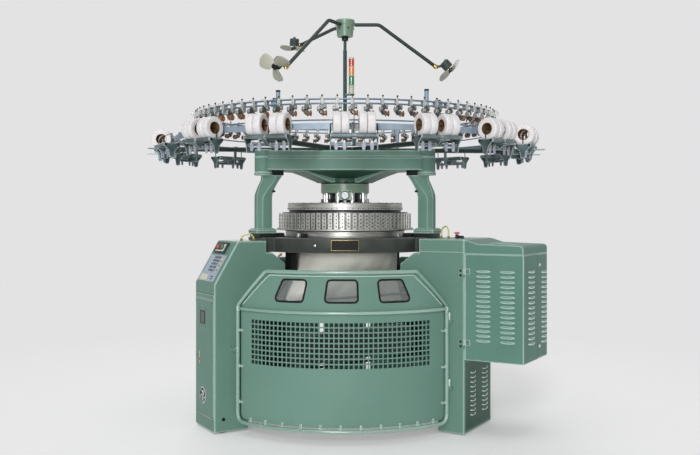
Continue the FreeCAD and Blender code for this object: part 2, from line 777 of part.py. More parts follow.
def make_cams():
    """Cylinder cam ring on the bed, with a cam box for every feed."""
    low = BED_BOTTOM + BED_THICK
    shelf = CAM_BOTTOM - CAM_FLANGE_THICK
    foot = hoop(CAM_INNER, CAM_FOOT, low, shelf)
    export("cam_ring", fused([foot, hoop(CAM_INNER, CAM_FLANGE, shelf, CAM_BOTTOM)]))
    half = math.radians(180.0 / FEEDS) - CAM_SLOT / (2 * CAM_OUTER)
    corners = ((CAM_INNER + 3, -half), (CAM_OUTER, -half), (CAM_OUTER, half), (CAM_INNER + 3, half))
    outline = [(radius * math.cos(turn), radius * math.sin(turn)) for radius, turn in corners]
    cam_box = plate(outline, CAM_BOTTOM, CAM_BOTTOM + CAM_HEIGHT)
    export("cam_boxes", around(cam_box, FEEDS, 180.0 / FEEDS))


def make_dial():
    """Dial on the shaft that hangs from the hub, and the dial cam ring over it."""
    top = DIAL_CAM_BOTTOM - GAP
    low = top - DIAL_THICK
    plate_solid = drum(DIAL_RADIUS, low, top)
    boss = drum(DIAL_BOSS, low - 2 * DIAL_THICK, low, BORE_SIDES)
    shaft = drum(DIAL_SHAFT, top, HUB_BOTTOM + HUB_HEIGHT, BORE_SIDES)
    export("dial", fused([plate_solid, boss, shaft]))
    high = DIAL_CAM_BOTTOM + DIAL_CAM_HEIGHT
    inner = DIAL_CAM_OUTER - DIAL_CAM_BAND
    roof = high - DIAL_CAM_HEIGHT / 2
    band = hoop(inner, DIAL_CAM_OUTER, DIAL_CAM_BOTTOM, high)
    web = hoop(DIAL_SHAFT + 20, inner, roof, high)
    export("dial_cam_ring", fused([band, web]))


def make_hub():
    """Hub housing on its pillars, with the boss up to the crown, the height gauge and the knob."""
    top = HUB_BOTTOM + HUB_HEIGHT
    crown_low = CROWN_BOTTOM - CROWN_CONE_DROP
    housing = fused([drum(HUB_RADIUS, HUB_BOTTOM, top), drum(BOSS_RADIUS, top, crown_low)])
    housing = housing.cut(bore(DIAL_SHAFT, Vector(0, 0, HUB_BOTTOM), Vector(0, 0, crown_low)))
    low = DIAL_CAM_BOTTOM + DIAL_CAM_HEIGHT
    pillar = bar(PILLAR_RADIUS, Vector(PILLAR_CIRCLE, 0, low), Vector(PILLAR_CIRCLE, 0, HUB_BOTTOM), 8)
    export("hub_housing", [housing] + around(pillar, PILLARS, 180.0 / PILLARS))
    front = -HUB_RADIUS - 18.0
    half = GAUGE_BLOCK / 2
    block = box((-half, half), (front, front + 38.0), (HUB_BOTTOM + 5 - GAUGE_BLOCK * 0.6, HUB_BOTTOM + 22))
    block = block.cut(drum(HUB_RADIUS + GAP, HUB_BOTTOM - GAP, top))
    centre = Vector(0, front, HUB_BOTTOM - 18)
    face = bar(GAUGE_RADIUS, centre, centre - ACROSS * GAUGE_THICK, BORE_SIDES)
    export("height_gauge", [block, face])
    start = Vector(0, -KNOB_REACH, KNOB_HEIGHT)
    grip = bar(KNOB_RADIUS, start, start - ACROSS * KNOB_LENGTH, BORE_SIDES)
    shaft = bar(KNOB_SHAFT, start + ACROSS * knob_seat(), start, BORE_SIDES)
    export("adjusting_knob", fused([grip, shaft]))


def knob_seat():
    """Length of the adjusting knob's shaft."""
    return KNOB_REACH - HUB_RADIUS + 20.0


# ---------------------------------------------------------------- uprights and crown
def make_uprights():
    """Three gooseneck columns with chamfered outer corners, each on its foot plate."""
    base = BED_BOTTOM + BED_THICK
    low = base + UPRIGHT_FOOT
    top = CROWN_BOTTOM - CROWN_BOSS_DROP
    half = UPRIGHT_WIDTH / 2
    neck = Vector(UPRIGHT_INNER, -half, low + 0.62 * (top - low))
    throat = Vector(UPRIGHT_THROAT, -half, low + 0.86 * (top - low))
    head = Vector(UPRIGHT_HEAD_INNER, -half, top)
    outline = [head, Vector(UPRIGHT_HEAD_OUTER, -half, top),
               Vector(UPRIGHT_OUTER, -half, top - UPRIGHT_SHOULDER), Vector(UPRIGHT_OUTER, -half, low),
               Vector(UPRIGHT_INNER, -half, low), neck]
    edges = [Part.LineSegment(a, b).toShape() for a, b in zip(outline, outline[1:])]
    edges.append(Part.Arc(neck, throat, head).toShape())
    column = Part.Face(Part.Wire(edges)).extrude(Vector(0, UPRIGHT_WIDTH, 0))
    edge = UPRIGHT_OUTER
    for side in (-1, 1):
        corner = [(edge - UPRIGHT_CHAMFER, side * half), (edge, side * (half - UPRIGHT_CHAMFER)),
                  (edge, side * half)]
        column = column.cut(plate(corner, low, top))
    wide = UPRIGHT_FOOT_WIDTH / 2
    over = UPRIGHT_FOOT_OVER
    foot = box((UPRIGHT_INNER - over, UPRIGHT_OUTER + over), (-wide, wide), (base, low))
    export("uprights", around(fused([column, foot]), 3, CONTROL_AZIMUTH))


def make_crown():
    """Three-sided crown casting with corner bosses and the cone under its middle."""
    top = CROWN_BOTTOM + CROWN_THICK
    outline = []
    for azimuth in (REAR_AZIMUTH, CONTROL_AZIMUTH, DRIVE_AZIMUTH):
        for side in (-1, 1):
            turn = math.radians(azimuth - 90.0)
            across = side * CROWN_HALF
            outline.append((CROWN_CORNER * math.cos(turn) - across * math.sin(turn),
                            CROWN_CORNER * math.sin(turn) + across * math.cos(turn)))
    low = CROWN_BOTTOM - CROWN_BOSS_DROP
    boss = drum(CROWN_BOSS, low, top + CROWN_BOSS_RISE, PULLEY_SIDES, CROWN_CORNER)
    sections = ((HUB_RADIUS, CROWN_BOTTOM - CROWN_CONE_DROP), (CROWN_CONE, CROWN_BOTTOM))
    cone = skin([ring_points(Vector(0, 0, z), UP, radius, RING_SIDES) for radius, z in sections])
    crown = fused([plate(outline, CROWN_BOTTOM, top), cone] + around(boss, 3, CONTROL_AZIMUTH))
    start = Vector(0, -KNOB_REACH, KNOB_HEIGHT)
    export("crown_plate", crown.cut(bore(KNOB_SHAFT, start + ACROSS * (knob_seat() + GAP), start)))


# ---------------------------------------------------------------- gates
def hoop_path(left, right, height):
    """Corners of a tube that follows the gate's circle in straight runs."""
    step = (right - left) / GATE_RUNS
    return [point(left + index * step, GATE_RADIUS, height) for index in range(GATE_RUNS + 1)]


def frame_loop(left, right):
    """Path of a gate's outer tube, from the middle of its bottom round to its start."""
    shoulder = GATE_MIDDLE + 20.0
    inset = math.degrees(GATE_BEND / GATE_RADIUS)
    bottom = hoop_path(left + inset, right - inset, GATE_BOTTOM)
    top = hoop_path(right - GATE_SHOULDER, left + GATE_SHOULDER, GATE_TOP)
    corner_right = [point(right, GATE_RADIUS, GATE_BOTTOM + GATE_BEND), point(right, GATE_RADIUS, shoulder)]
    corner_left = [point(left, GATE_RADIUS, shoulder), point(left, GATE_RADIUS, GATE_BOTTOM + GATE_BEND)]
    return bottom + corner_right + top + corner_left + bottom[:1]


def gate_frame(left, right):
    """Tube frame of a gate between two azimuths, with its middle tube and panel tabs."""
    loop = frame_loop(left, right)
    half = len(loop) // 2
    parts = [tube(loop[:half + 1], GATE_TUBE, GATE_SIDES), tube(loop[half:], GATE_TUBE, GATE_SIDES)]
    parts.append(tube(hoop_path(left, right, GATE_MIDDLE), GATE_TUBE * 0.9, GATE_SIDES))
    return parts


def gate_outline(left, right):
    """Front view of a gate's sheet as (x, z) points."""
    inset = GATE_TUBE + PANEL_GAP
    reach = [GATE_RADIUS * math.sin(math.radians(angle)) for angle in
             (left, right, right - GATE_SHOULDER, left + GATE_SHOULDER)]
    low = GATE_BOTTOM + inset
    high = GATE_TOP - 2.0
    return [(reach[0] + inset, low), (reach[1] - inset, low), (reach[1] - inset, GATE_MIDDLE),
            (reach[2] - inset / 2, high), (reach[3] + inset / 2, high), (reach[0] + inset, GATE_MIDDLE)]


def window_outlines(grow):
    """Front view of the three windows with chamfered corners, grown outwards."""
    low = WINDOW_BOTTOM - grow
    high = WINDOW_TOP + grow
    spans = ((-487, -283, -250, -423), (-141, 90, 85, -120), (233, 451, 387, 215))
    windows = []
    for low_left, low_right, high_right, high_left in spans:
        corners = [(low_left - grow, low), (low_right + grow, low), (high_right + grow, high),
                   (high_left - grow, high)]
        windows.append(chamfered(corners, WINDOW_CHAMFER))
    return windows


def through_gate(outline):
    """Front-view outline as a block that runs through the front of the gate."""
    return prism(outline, -GATE_RADIUS - 60, -GATE_RADIUS / 2)


def sheet_radius():
    """Outer radius of the gates' sheets, just inside their tubes."""
    half_run = math.radians(GATE_LEFT / GATE_RUNS)
    return GATE_RADIUS * math.cos(half_run) - GATE_TUBE - GAP


def bent_sheet(left, right, thick, proud=0.0, runs=PANEL_RUNS):
    """Tall sheet bent round the axis in narrow flat runs."""
    outer = sheet_radius() + proud
    turns = [left + (right - left) * index / runs for index in range(runs + 1)]
    outline = [point(turn, outer, 0) for turn in turns]
    outline += [point(turn, outer - thick, 0) for turn in reversed(turns)]
    return closed_face(outline).extrude(UP * (GATE_TOP + 1.0))


def gate_panel(left, right, runs):
    """Bent sheet of a gate, cut to its outline."""
    sheet = bent_sheet(left, right, PANEL_SHEET, 0.0, runs)
    return sheet.common(through_gate(gate_outline(left, right)))


def gate_tabs(left, right, count):
    """Short straps over the open line between a gate's sheet and its tubes."""
    inner = sheet_radius() + GAP
    outer = GATE_RADIUS - GATE_TUBE * 0.4
    half = TAB_WIDTH / 2
    span = right - left - 14.0
    low = box((inner, outer), (-half, half), (GATE_BOTTOM, GATE_BOTTOM + 2.4 * GATE_TUBE))
    side = box((inner, outer), (-20, 20), (0, TAB_WIDTH))
    tabs = [placed(low, left + 7.0 + span * index / (count - 1)) for index in range(count)]
    for azimuth in (left + 1.1, right - 1.1):
        tabs += [moved(placed(side, azimuth), 0, 0, height) for height in (300.0, 700.0)]
    return tabs


def hinge_axis(half_width, side):
    """Plan position of a gate's hinge axis beside a leg, drawn along +X."""
    across = half_width + HINGE_OFFSET
    return math.sqrt(HINGE_CIRCLE ** 2 - across ** 2), side * across


def gate_knuckles(half_width, side, azimuth, post):
    """The gate's own hinge eyes, joined to its post and bored for the pins."""
    x, y = hinge_axis(half_width, side)
    eyes = []
    for height in (HINGE_LOW, HINGE_HIGH):
        centre = placed(Part.Vertex(x, y, height), azimuth).Point
        top = centre + UP * HINGE_EYE_LONG
        foot = Vector(post.x, post.y, height)
        reach = foot - centre
        web = box((0, reach.Length), (-5, 5), (0, HINGE_EYE_LONG))
        web = turned(web, math.degrees(math.atan2(reach.y, reach.x)))
        eye = bar(HINGE_EYE, centre, top, BORE_SIDES).fuse(moved(web, centre.x, centre.y, centre.z))
        eyes.append((eye, bore(HINGE_PIN, centre, top)))
    return eyes


def hinge_brackets(half_width, side, azimuth):
    """Brackets on a leg's side face, each with its upright pin."""
    x, y = hinge_axis(half_width, side)
    face = side * (half_width + GAP)
    brackets = []
    for height in (HINGE_LOW, HINGE_HIGH):
        low = height - 22.0
        top = height - GAP
        block = box((x - 20, x + 20), tuple(sorted((face, y + side * 4))), (low, top))
        pin = bar(HINGE_PIN, Vector(x, y, low), Vector(x, y, height + HINGE_EYE_LONG), BORE_SIDES)
        brackets.append(placed(fused([block, pin]), azimuth))
    return brackets


def hung_gate(left, right, half_width, side, azimuth, turn, tabs):
    """A gate's frame with tabs and hinge eyes, drawn at the front and turned to its place."""
    hinge_at = left if side > 0 else right
    parts = gate_frame(left, right) + gate_tabs(left, right, tabs)
    post = point(hinge_at, GATE_RADIUS, 0)
    eyes = gate_knuckles(half_width, side, azimuth - turn, post)
    frame = parts[0].fuse(parts[1:] + [eye for eye, bore in eyes])
    return frame.cut([bore for eye, bore in eyes])


def make_front_gate():
    """Main gate: frame, perforated panel with three windows, their seals and panes."""
    frame = hung_gate(-GATE_LEFT, GATE_RIGHT, DRIVE_WIDTH / 2, -1, DRIVE_AZIMUTH, 0.0, FRONT_TABS)
    frame = fused([frame, catch_boss()]).cut(catch_bore())
    panel = gate_panel(-GATE_LEFT, GATE_RIGHT, PANEL_RUNS)
    panel = panel.cut([through_gate(outline) for outline in window_outlines(0.0)] + gate_holes())
    export("front_gate_frame", frame)
    export("front_gate_panel", panel)
    rim = bent_sheet(-GATE_LEFT, GATE_RIGHT, PANEL_SHEET + 2 * SEAL_PROUD, SEAL_PROUD)
    glass = bent_sheet(-GATE_LEFT, GATE_RIGHT, PANE_THICK, (PANE_THICK - PANEL_SHEET) / 2)
    seals, panes = [], []
    for outer, inner, pane in zip(window_outlines(0.0), window_outlines(-SEAL_WIDTH),
                                  window_outlines(-SEAL_WIDTH - GAP)):
        seals.append(rim.common(through_gate(outer).cut(through_gate(inner))))
        panes.append(glass.common(through_gate(pane)))
    export("front_gate_seals", seals)
    export("front_gate_panes", panes)


def gate_holes():
    """Rows of openings in the front gate's lower field, one column to a flat run."""
    outer = sheet_radius() + 1.0
    hole = box((outer - 2 * PANEL_SHEET, outer), (-HOLE_WIDE / 2, HOLE_WIDE / 2), (-HOLE_HIGH, 0))
    step = (GATE_LEFT + GATE_RIGHT) / PANEL_RUNS
    first = (PANEL_RUNS - HOLE_COLUMNS + 1) / 2
    holes = []
    for row in range(HOLE_ROWS):
        for column in range(HOLE_COLUMNS):
            azimuth = (first + column) * step - GATE_LEFT
            holes.append(moved(placed(hole, azimuth), 0, 0, HOLE_TOP - row * HOLE_PITCH))
    return holes


def catch_centre():
    """Pivot of the front gate's catch, on the gate's left post."""
    return point(-GATE_LEFT, GATE_RADIUS, CATCH_HEIGHT)


def catch_boss():
    """Boss on the post that the catch turns on."""
    out = point(-GATE_LEFT, 1.0, 0.0)
    return bar(CATCH_PIN * 2, catch_centre(), catch_centre() + out * (GATE_TUBE + 6.0), BORE_SIDES)


def catch_bore():
    """Hole for the catch's pin."""
    out = point(-GATE_LEFT, 1.0, 0.0)
    return bore(CATCH_PIN, catch_centre() + out, catch_centre() + out * (GATE_TUBE + 6.0))


def make_catch():
    """Turning catch on the front gate."""
    reach = GATE_RADIUS + GATE_TUBE + 6.0 + GAP
    pin = bar(CATCH_PIN, Vector(GATE_RADIUS + 2, 0, 0), Vector(reach, 0, 0), BORE_SIDES)
    lever = box((reach, reach + CATCH_THICK), (-CATCH_LEVER, 14), (-9, 9))
    lever = moved(fused([lever, pin]), 0, 0, CATCH_HEIGHT)
    export("gate_catch", placed(lever, -GATE_LEFT))


def catch_rest():
    """Lug on the control leg that the catch's lever lies on."""
    face = CONTROL_WIDTH / 2
    far = GATE_RADIUS - 2.0
    half = REST_HIGH / 2
    lug = box((far - REST_LENGTH, far), (face, face + REST_DEEP), (CATCH_HEIGHT - half, CATCH_HEIGHT + half))
    return placed(lug, CONTROL_AZIMUTH)


def make_rear_gates():
    """Plain gates between the rear leg and the two front legs."""
    half = REAR_WIDTH / 2
    spans = (("rear_left_gate", -GATE_LEFT, GATE_LEFT, 1, -120.0),
             ("rear_right_gate", -GATE_RIGHT, GATE_LEFT, -1, 120.0))
    for name, left, right, side, middle in spans:
        frame = hung_gate(left, right, half, side, REAR_AZIMUTH, middle, REAR_TABS)
        panel = gate_panel(left, right, PANEL_RUNS // 2)
        export(name, [turned(frame, middle), turned(panel, middle)])


def make_fixed_hinges():
    """Hinge halves and the catch's rest, all screwed to the legs."""
    half = REAR_WIDTH / 2
    brackets = hinge_brackets(DRIVE_WIDTH / 2, -1, DRIVE_AZIMUTH)
    brackets += hinge_brackets(half, 1, REAR_AZIMUTH) + hinge_brackets(half, -1, REAR_AZIMUTH)
    export("fixed_hinges", brackets + door_hinges() + [catch_rest()])


# ---------------------------------------------------------------- drive cabinet
def door_axis():
    """Plan position of the cabinet door's hinge axis, drawn along +X."""
    return DRIVE_REACH + 1.0, -DRIVE_WIDTH / 2 - DOOR_EYE - GAP


def make_cabinet():
    """Drive cabinet: open shell, sloping lid, wrap-round door with its hinges and handles."""
    near = -DRIVE_WIDTH / 2
    far = DRIVE_WIDTH / 2
    start = DRIVE_REACH + GAP
    heights = (CABINET_BOTTOM, CABINET_TOP)
    inner = (CABINET_BOTTOM + SHEET, CABINET_TOP - SHEET)
    shell = box((start, CABINET_END), (near, far), heights)
    hollow = box((start + SHEET, CABINET_END - SHEET), (near - 1, far - SHEET), inner)
    wrap = box((CABINET_END - 2 * SHEET, CABINET_END + 1), (near - 1, near + DOOR_RETURN - 20), inner)
    belt_heights = (BELT_HEIGHT - BELT_WIDTH, BELT_HEIGHT + BELT_WIDTH)
    belt_gap = box((start - 1, start + SHEET + 1), (-belt_way(), belt_way()), belt_heights)
    tools = [hollow, wrap, belt_gap]
    for height in (HANDLE_LOW, HANDLE_HIGH):
        centre = Vector(CABINET_END - 2 * SHEET, HANDLE_ACROSS, height)
        tools.append(bore(HANDLE_SHAFT, centre, centre + OUT * 2 * SHEET))
    pressed = [moved(one, CABINET_END, 187.0, LOUVRE_LOW)
               for one in louvres(LOUVRE_LENGTH, LOUVRE_ROWS, LOUVRE_PITCH)]
    shell = fused([shell.cut(tools)] + pressed)
    lid = cabinet_lid(start, near, far)
    export("cabinet_shell", [placed(shell, DRIVE_AZIMUTH), placed(lid, DRIVE_AZIMUTH)])
    export("cabinet_door", placed(cabinet_door(start, near), DRIVE_AZIMUTH))
    for name, height in (("upper_handle", HANDLE_HIGH), ("lower_handle", HANDLE_LOW)):
        export(name, placed(door_handle(height), DRIVE_AZIMUTH))


def cabinet_lid(start, near, far):
    """Sheet cover on the cabinet, sloping down from the leg and rounded at its end."""
    low = CABINET_TOP
    knee = start + 102.0
    end = CABINET_END
    outline = [(start, low), (end, low), (end, low + LID_FRONT - LID_ROUND),
               (end - LID_ROUND, low + LID_FRONT), (knee, low + LID_FRONT + 8), (start, low + LID_BACK)]
    middle = (near + far) / 2
    lid = moved(hollow_prism(outline, (far - near) / 2, SHEET), 0, middle, 0)
    floor = box((start + 2 * SHEET, end - 2 * SHEET), (near + 2 * SHEET, far - 2 * SHEET),
                (low - 1, low + 2 * SHEET))
    return lid.cut(floor)


def cabinet_door(start, near):
    """Door of one folded sheet: louvred front, return round the end and two hinge eyes."""
    x, y = door_axis()
    outer = near - GAP - DOOR_SHEET
    face = CABINET_END + GAP
    heights = (CABINET_BOTTOM + GAP, CABINET_TOP - GAP)
    front = box((start + DOOR_EDGE, face + DOOR_SHEET), (outer, near - GAP), heights)
    side = box((face, face + DOOR_SHEET), (outer, near + DOOR_RETURN), heights)
    parts = [front, side]
    bores = []
    for height in (DOOR_HINGE_LOW, DOOR_HINGE_HIGH):
        ends = [Vector(x, y, z) for z in (height, height + DOOR_EYE_LONG)]
        parts.append(bar(DOOR_EYE, ends[0], ends[1], BORE_SIDES))
        half = DOOR_SHEET / 2
        strap = box((x, x + 4 * DOOR_EYE), (y - half, outer + half), (height, height + DOOR_EYE_LONG))
        parts.append(strap)
        bores.append(bore(DOOR_PIN, ends[0], ends[1]))
    for along in (1242.0, 1417.0):
        for one in louvres(LOUVRE_LENGTH, LOUVRE_ROWS, LOUVRE_PITCH):
            parts.append(moved(turned(one, -90.0), along, outer, LOUVRE_LOW))
    for one in louvres(LOUVRE_LENGTH, LOUVRE_ROWS, LOUVRE_PITCH):
        parts.append(moved(one, face + DOOR_SHEET, -105.0, LOUVRE_LOW))
    return fused(parts).cut(bores)


def door_hinges():
    """Leaves on the drive leg's front face, each with the pin that a door eye turns on."""
    x, y = door_axis()
    face = -DRIVE_WIDTH / 2
    hinges = []
    for height in (DOOR_HINGE_LOW, DOOR_HINGE_HIGH):
        low, seat, top = (Vector(x, y, z) for z in (height - 24.0, height - GAP, height + DOOR_EYE_LONG))
        leaf = box((x - 44, x - 8), (face - 3, face), (low.z, top.z))
        arm = box((x - 12, x), (face - 8, face - 0.5), (low.z, seat.z))
        eye = bar(DOOR_EYE, low, seat, BORE_SIDES)
        pin = bar(DOOR_PIN, low, top, BORE_SIDES)
        hinges.append(placed(fused([leaf, arm, eye, pin]), DRIVE_AZIMUTH))
    return hinges


def door_handle(height):
    """Quarter-turn handle on the cabinet's end plate."""
    seat = CABINET_END + GAP
    centre = Vector(seat, HANDLE_ACROSS, height)
    shaft = bar(HANDLE_SHAFT, centre - OUT * SHEET * 2, centre, BORE_SIDES)
    rose = bar(HANDLE_ROSE, centre, centre + OUT * 6, BORE_SIDES)
    grip = box((seat + 6, seat + 11), (HANDLE_ACROSS - HANDLE_GRIP, HANDLE_ACROSS + 12),
               (height - 6, height + 6))
    return fused([shaft, rose, grip])


# ---------------------------------------------------------------- yarn feeding
def make_feeders():
    """Rails of the feeder ring, with a feeder and its wheel for every feed."""
    inner = FEEDER_RADIUS - RAIL_DEEP / 2
    outer = FEEDER_RADIUS + RAIL_DEEP / 2
    half = RAIL_HIGH / 2
    rails = [hoop(inner, outer, z - half, z + half) for z in (FEEDER_LOWER, FEEDER_UPPER)]
    export("yarn_rings", rails + [guide_ring()])
    low = FEEDER_LOWER - FEEDER_DROP
    flat = math.pi / RING_SIDES
    face = outer * math.cos(flat) / math.cos(flat / 2) + 2 * GAP
    outline = [(face, low), (outer + FEEDER_BODY, low), (outer + FEEDER_BODY, low + 26),
               (outer + 10, FEEDER_LOWER), (face, FEEDER_UPPER + 38)]
    phase = 90.0 / RING_SIDES
    export("feeders", around(prism(outline, -8, 8), FEEDS, phase))
    centre = Vector(outer + FEEDER_BODY - 8, 8 + GAP, low + 8)
    wheel = bar(WHEEL_RADIUS, centre, centre + ACROSS * WHEEL_WIDTH, WHEEL_SIDES)
    export("feeder_wheels", around(wheel, FEEDS, phase))


def guide_ring():
    """Thin ring for the yarns, with a lug to each post."""
    wire = GUIDE_RING_WIRE
    guide = hoop(FEEDER_RADIUS - wire, FEEDER_RADIUS + wire, GUIDE_RING_HEIGHT - wire,
                 GUIDE_RING_HEIGHT + wire)
    lug = box((post_inner() + POST_SIDE + GAP, FEEDER_RADIUS), (-9, 9),
              (GUIDE_RING_HEIGHT - wire, GUIDE_RING_HEIGHT))
    return fused([guide] + around(lug, ARMS, ARM_PHASE))


def post_inner():
    """Radius of the inner face of the posts that hold the feeder ring."""
    rail = (FEEDER_RADIUS - RAIL_DEEP / 2) * math.cos(math.pi / RING_SIDES)
    return rail - POST_SIDE - GAP


def make_arms():
    """Arms on the crown, their posts to the feeder rails, and the band that they carry."""
    low = ARM_HEIGHT - ARM_DEEP / 2
    high = low + ARM_DEEP
    end = SPOOL_RING - SPOOL_RING_THICK - GAP
    half = ARM_WIDE / 2
    arm = box((MAST_RADIUS + 20, SPOOL_RING), (-half, half), (low, high))
    seat = SPOOL_RING_HEIGHT - SPOOL_RING_BAND / 2 - GAP
    riser = box((end - 16, SPOOL_RING), (-half, half), (low, seat))
    hub = drum(ARM_HUB, CROWN_BOTTOM + CROWN_THICK, high, PULLEY_SIDES)
    arms = fused([hub] + around(arm, ARMS, ARM_PHASE) + around(riser, ARMS, ARM_PHASE))
    export("ring_arms", arms.cut(drum(MAST_RADIUS + GAP, low - ARM_DEEP, high, BORE_SIDES)))
    half = POST_SIDE / 2
    post = box((post_inner(), post_inner() + POST_SIDE), (-half, half), (high, POST_TOP))
    export("ring_posts", around(post, ARMS, ARM_PHASE) + round_posts())
    half = SPOOL_RING_BAND / 2
    band = hoop(SPOOL_RING - SPOOL_RING_THICK, SPOOL_RING, SPOOL_RING_HEIGHT - half,
                SPOOL_RING_HEIGHT + half)
    export("spool_ring", band)


def round_posts():
    """Two tall posts that stand on the crown."""
    base = CROWN_BOTTOM + CROWN_THICK
    posts = []
    for azimuth, radius, foot in ((DRIVE_AZIMUTH, CROWN_CORNER, base + CROWN_BOSS_RISE),
                                  (CONTROL_AZIMUTH, CROWN_CORNER - 120.0, base)):
        start = point(azimuth, radius, foot)
        posts.append(bar(ROUND_POST, start, Vector(start.x, start.y, ROUND_POST_TOP), BORE_SIDES))
    return posts


def spool_seat():
    """Sideways and downward distances from a spool's axis to its rollers' axes."""
    reach = SPOOL_RADIUS + ROLLER_RADIUS + GAP
    return reach * math.sin(math.radians(30.0)), reach * math.cos(math.radians(30.0))


def make_units():
    """Spool units: frame, two rollers each, and spools on the units near the front."""
    spread, drop = spool_seat()
    height = SPOOL_HEIGHT - drop
    half = UNIT_HALF - 6.0
    rollers = []
    for x in (UNIT_RADIUS - spread, UNIT_RADIUS + spread):
        start = Vector(x, -half, height)
        rollers.append(bar(ROLLER_RADIUS, start, start + ACROSS * 2 * half, ROLLER_SIDES))
    spools = []
    for side in (-1, 1):
        for index in range(2):
            start = Vector(UNIT_RADIUS, side * (SPOOL_START + index * SPOOL_WIDTH), SPOOL_HEIGHT)
            end = start + ACROSS * side * (SPOOL_WIDTH - 1.0)
            body = bar(SPOOL_RADIUS, start, end, SPOOL_SIDES)
            spools.append(body.cut(bar(SPOOL_BORE, start, end, SPOOL_BORE_SIDES)))
    export("unit_frames", around(unit_frame(height), UNITS, UNIT_PHASE))
    export("unit_rollers", [copy for one in rollers for copy in around(one, UNITS, UNIT_PHASE)])
    places = [UNIT_PHASE + index * 360.0 / UNITS for index in LADEN_UNITS]
    export("spools", [placed(one, azimuth) for azimuth in places for one in spools])


def unit_frame(roller_height):
    """Unit body under the rollers, with its radial bar, yarn guide beam and hanging guides."""
    top = roller_height - ROLLER_RADIUS - GAP
    inner = SPOOL_RING + GAP
    lip = SPOOL_RING_HEIGHT + SPOOL_RING_BAND / 2 + GAP
    over = inner - 2 * SPOOL_RING_THICK
    spread = spool_seat()[0]
    outline = [(inner, top - 44), (UNIT_RADIUS + 20, top - 44), (UNIT_RADIUS + spread + 18, top - 14),
               (UNIT_REACH, top - 14), (UNIT_REACH, top - 6), (UNIT_RADIUS + spread + 18, top - 6),
               (UNIT_RADIUS + spread + 18, top), (inner + 10, top), (inner + 10, lip + 8), (over, lip + 8),
               (over, lip), (inner, lip)]
    body = prism(outline, -12, 12)
    beam = box((UNIT_RADIUS - 10, UNIT_RADIUS + 10), (-UNIT_HALF, UNIT_HALF), (top - 44, top - 24))
    parts = [body, beam]
    for side in (-1, 1):
        end = side * (UNIT_HALF - 6 + GAP)
        ends = tuple(sorted((end, end + side * 6)))
        cheek = [(UNIT_RADIUS - 10, top - 80), (UNIT_RADIUS + 10, top - 80),
                 (UNIT_RADIUS + spread + 12, top + 22), (UNIT_RADIUS - spread - 12, top + 22)]
        parts.append(prism(cheek, ends[0], ends[1]))
    return fused(parts)


# ---------------------------------------------------------------- mast, lamp and fans
def make_mast():
    """Mast on the crown with its collar, and the signal lamp on its shelf."""
    base = CROWN_BOTTOM + CROWN_THICK
    pin_top = HUB_LOW + MAST_PIN
    mast = fused([drum(MAST_RADIUS, base, MAST_SHOULDER, BORE_SIDES),
                  drum(MAST_THIN, MAST_SHOULDER, pin_top, BORE_SIDES),
                  box((0, LAMP_AT + LAMP_RADIUS), (-14, 14), (LAMP_BASE - 12, LAMP_BASE - GAP))])
    collar = hoop(MAST_THIN + GAP, MAST_THIN + 14, COLLAR_HEIGHT, HUB_LOW - GAP, BORE_SIDES)
    export("mast", [mast, collar])
    export("lamp_housing", [lamp_segment(LAMP_BASE, GREEN_LOW), lamp_segment(LAMP_CAP, LAMP_TOP)])
    heights = (GREEN_LOW, AMBER_LOW, RED_LOW, LAMP_CAP)
    export("lamp_lenses", [lamp_segment(low, high) for low, high in zip(heights, heights[1:])])


def lamp_segment(low, high):
    """Round segment of the signal lamp, a hair shorter than its place."""
    return drum(LAMP_RADIUS, low, high - GAP, BORE_SIDES, LAMP_AT + MAST_RADIUS)


# Each fan: name, azimuth of its arm, elbow and end of the arm as (radius, height), the motor's
# centre and the direction in which the rotor's axis points.
FANS = (
    ("right", 90.0, (265.0, 3010.0), (709.0, 2682.0), Vector(787, 0, 2698), Vector(0.68, 0, -0.73)),
    ("front", -30.0, (245.0, 3003.0), (826.0, 2567.0), Vector(-468, -700, 2600),
     Vector(-0.36, -0.72, -0.6)),
    ("rear", -150.0, (200.0, 3010.0), (767.0, 2975.0), Vector(-432, 668, 3000),
     Vector(-0.08, 0.16, -0.98)),
)


def make_fan_head():
    """Turning hub on the mast, its three arms with their motors, and the three rotors."""
    cap_low = HUB_TOP - FAN_HUB_CAP_HIGH
    low = Vector(0, 0, HUB_LOW)
    cap = drum(FAN_HUB_CAP, cap_low, HUB_TOP, PULLEY_SIDES)
    hub = fused([drum(FAN_HUB, HUB_LOW, cap_low, PULLEY_SIDES), cap])
    export("fan_hub", hub.cut(bore(MAST_THIN, low, low + UP * (MAST_PIN + GAP))))
    arms = []
    for name, azimuth, elbow, end, motor_at, axis in FANS:
        axis = Vector(axis).normalize()
        start = point(azimuth, FAN_HUB_CAP - 1.0, elbow[1])
        path = [start, point(azimuth, elbow[0], elbow[1]), point(azimuth, end[0], end[1])]
        back = motor_at - axis * (MOTOR_CAN_LONG / 2)
        front = motor_at + axis * (MOTOR_CAN_LONG / 2)
        can = bar(MOTOR_CAN, back, front, ARM_TUBE_SIDES)
        link = bar(ARM_TUBE * 0.7, path[-1], motor_at, ARM_TUBE_SIDES)
        arm = tube(path, ARM_TUBE, ARM_TUBE_SIDES).fuse([can, link])
        shaft = bore(ROTOR_SHAFT, front - axis * ROTOR_SEAT, front)
        arms.append(arm.cut([shaft, drum(FAN_HUB_CAP, HUB_LOW, HUB_TOP, PULLEY_SIDES)]))
        export("fan_rotor_" + name, rotor(front, axis))
    export("fan_arms", arms)


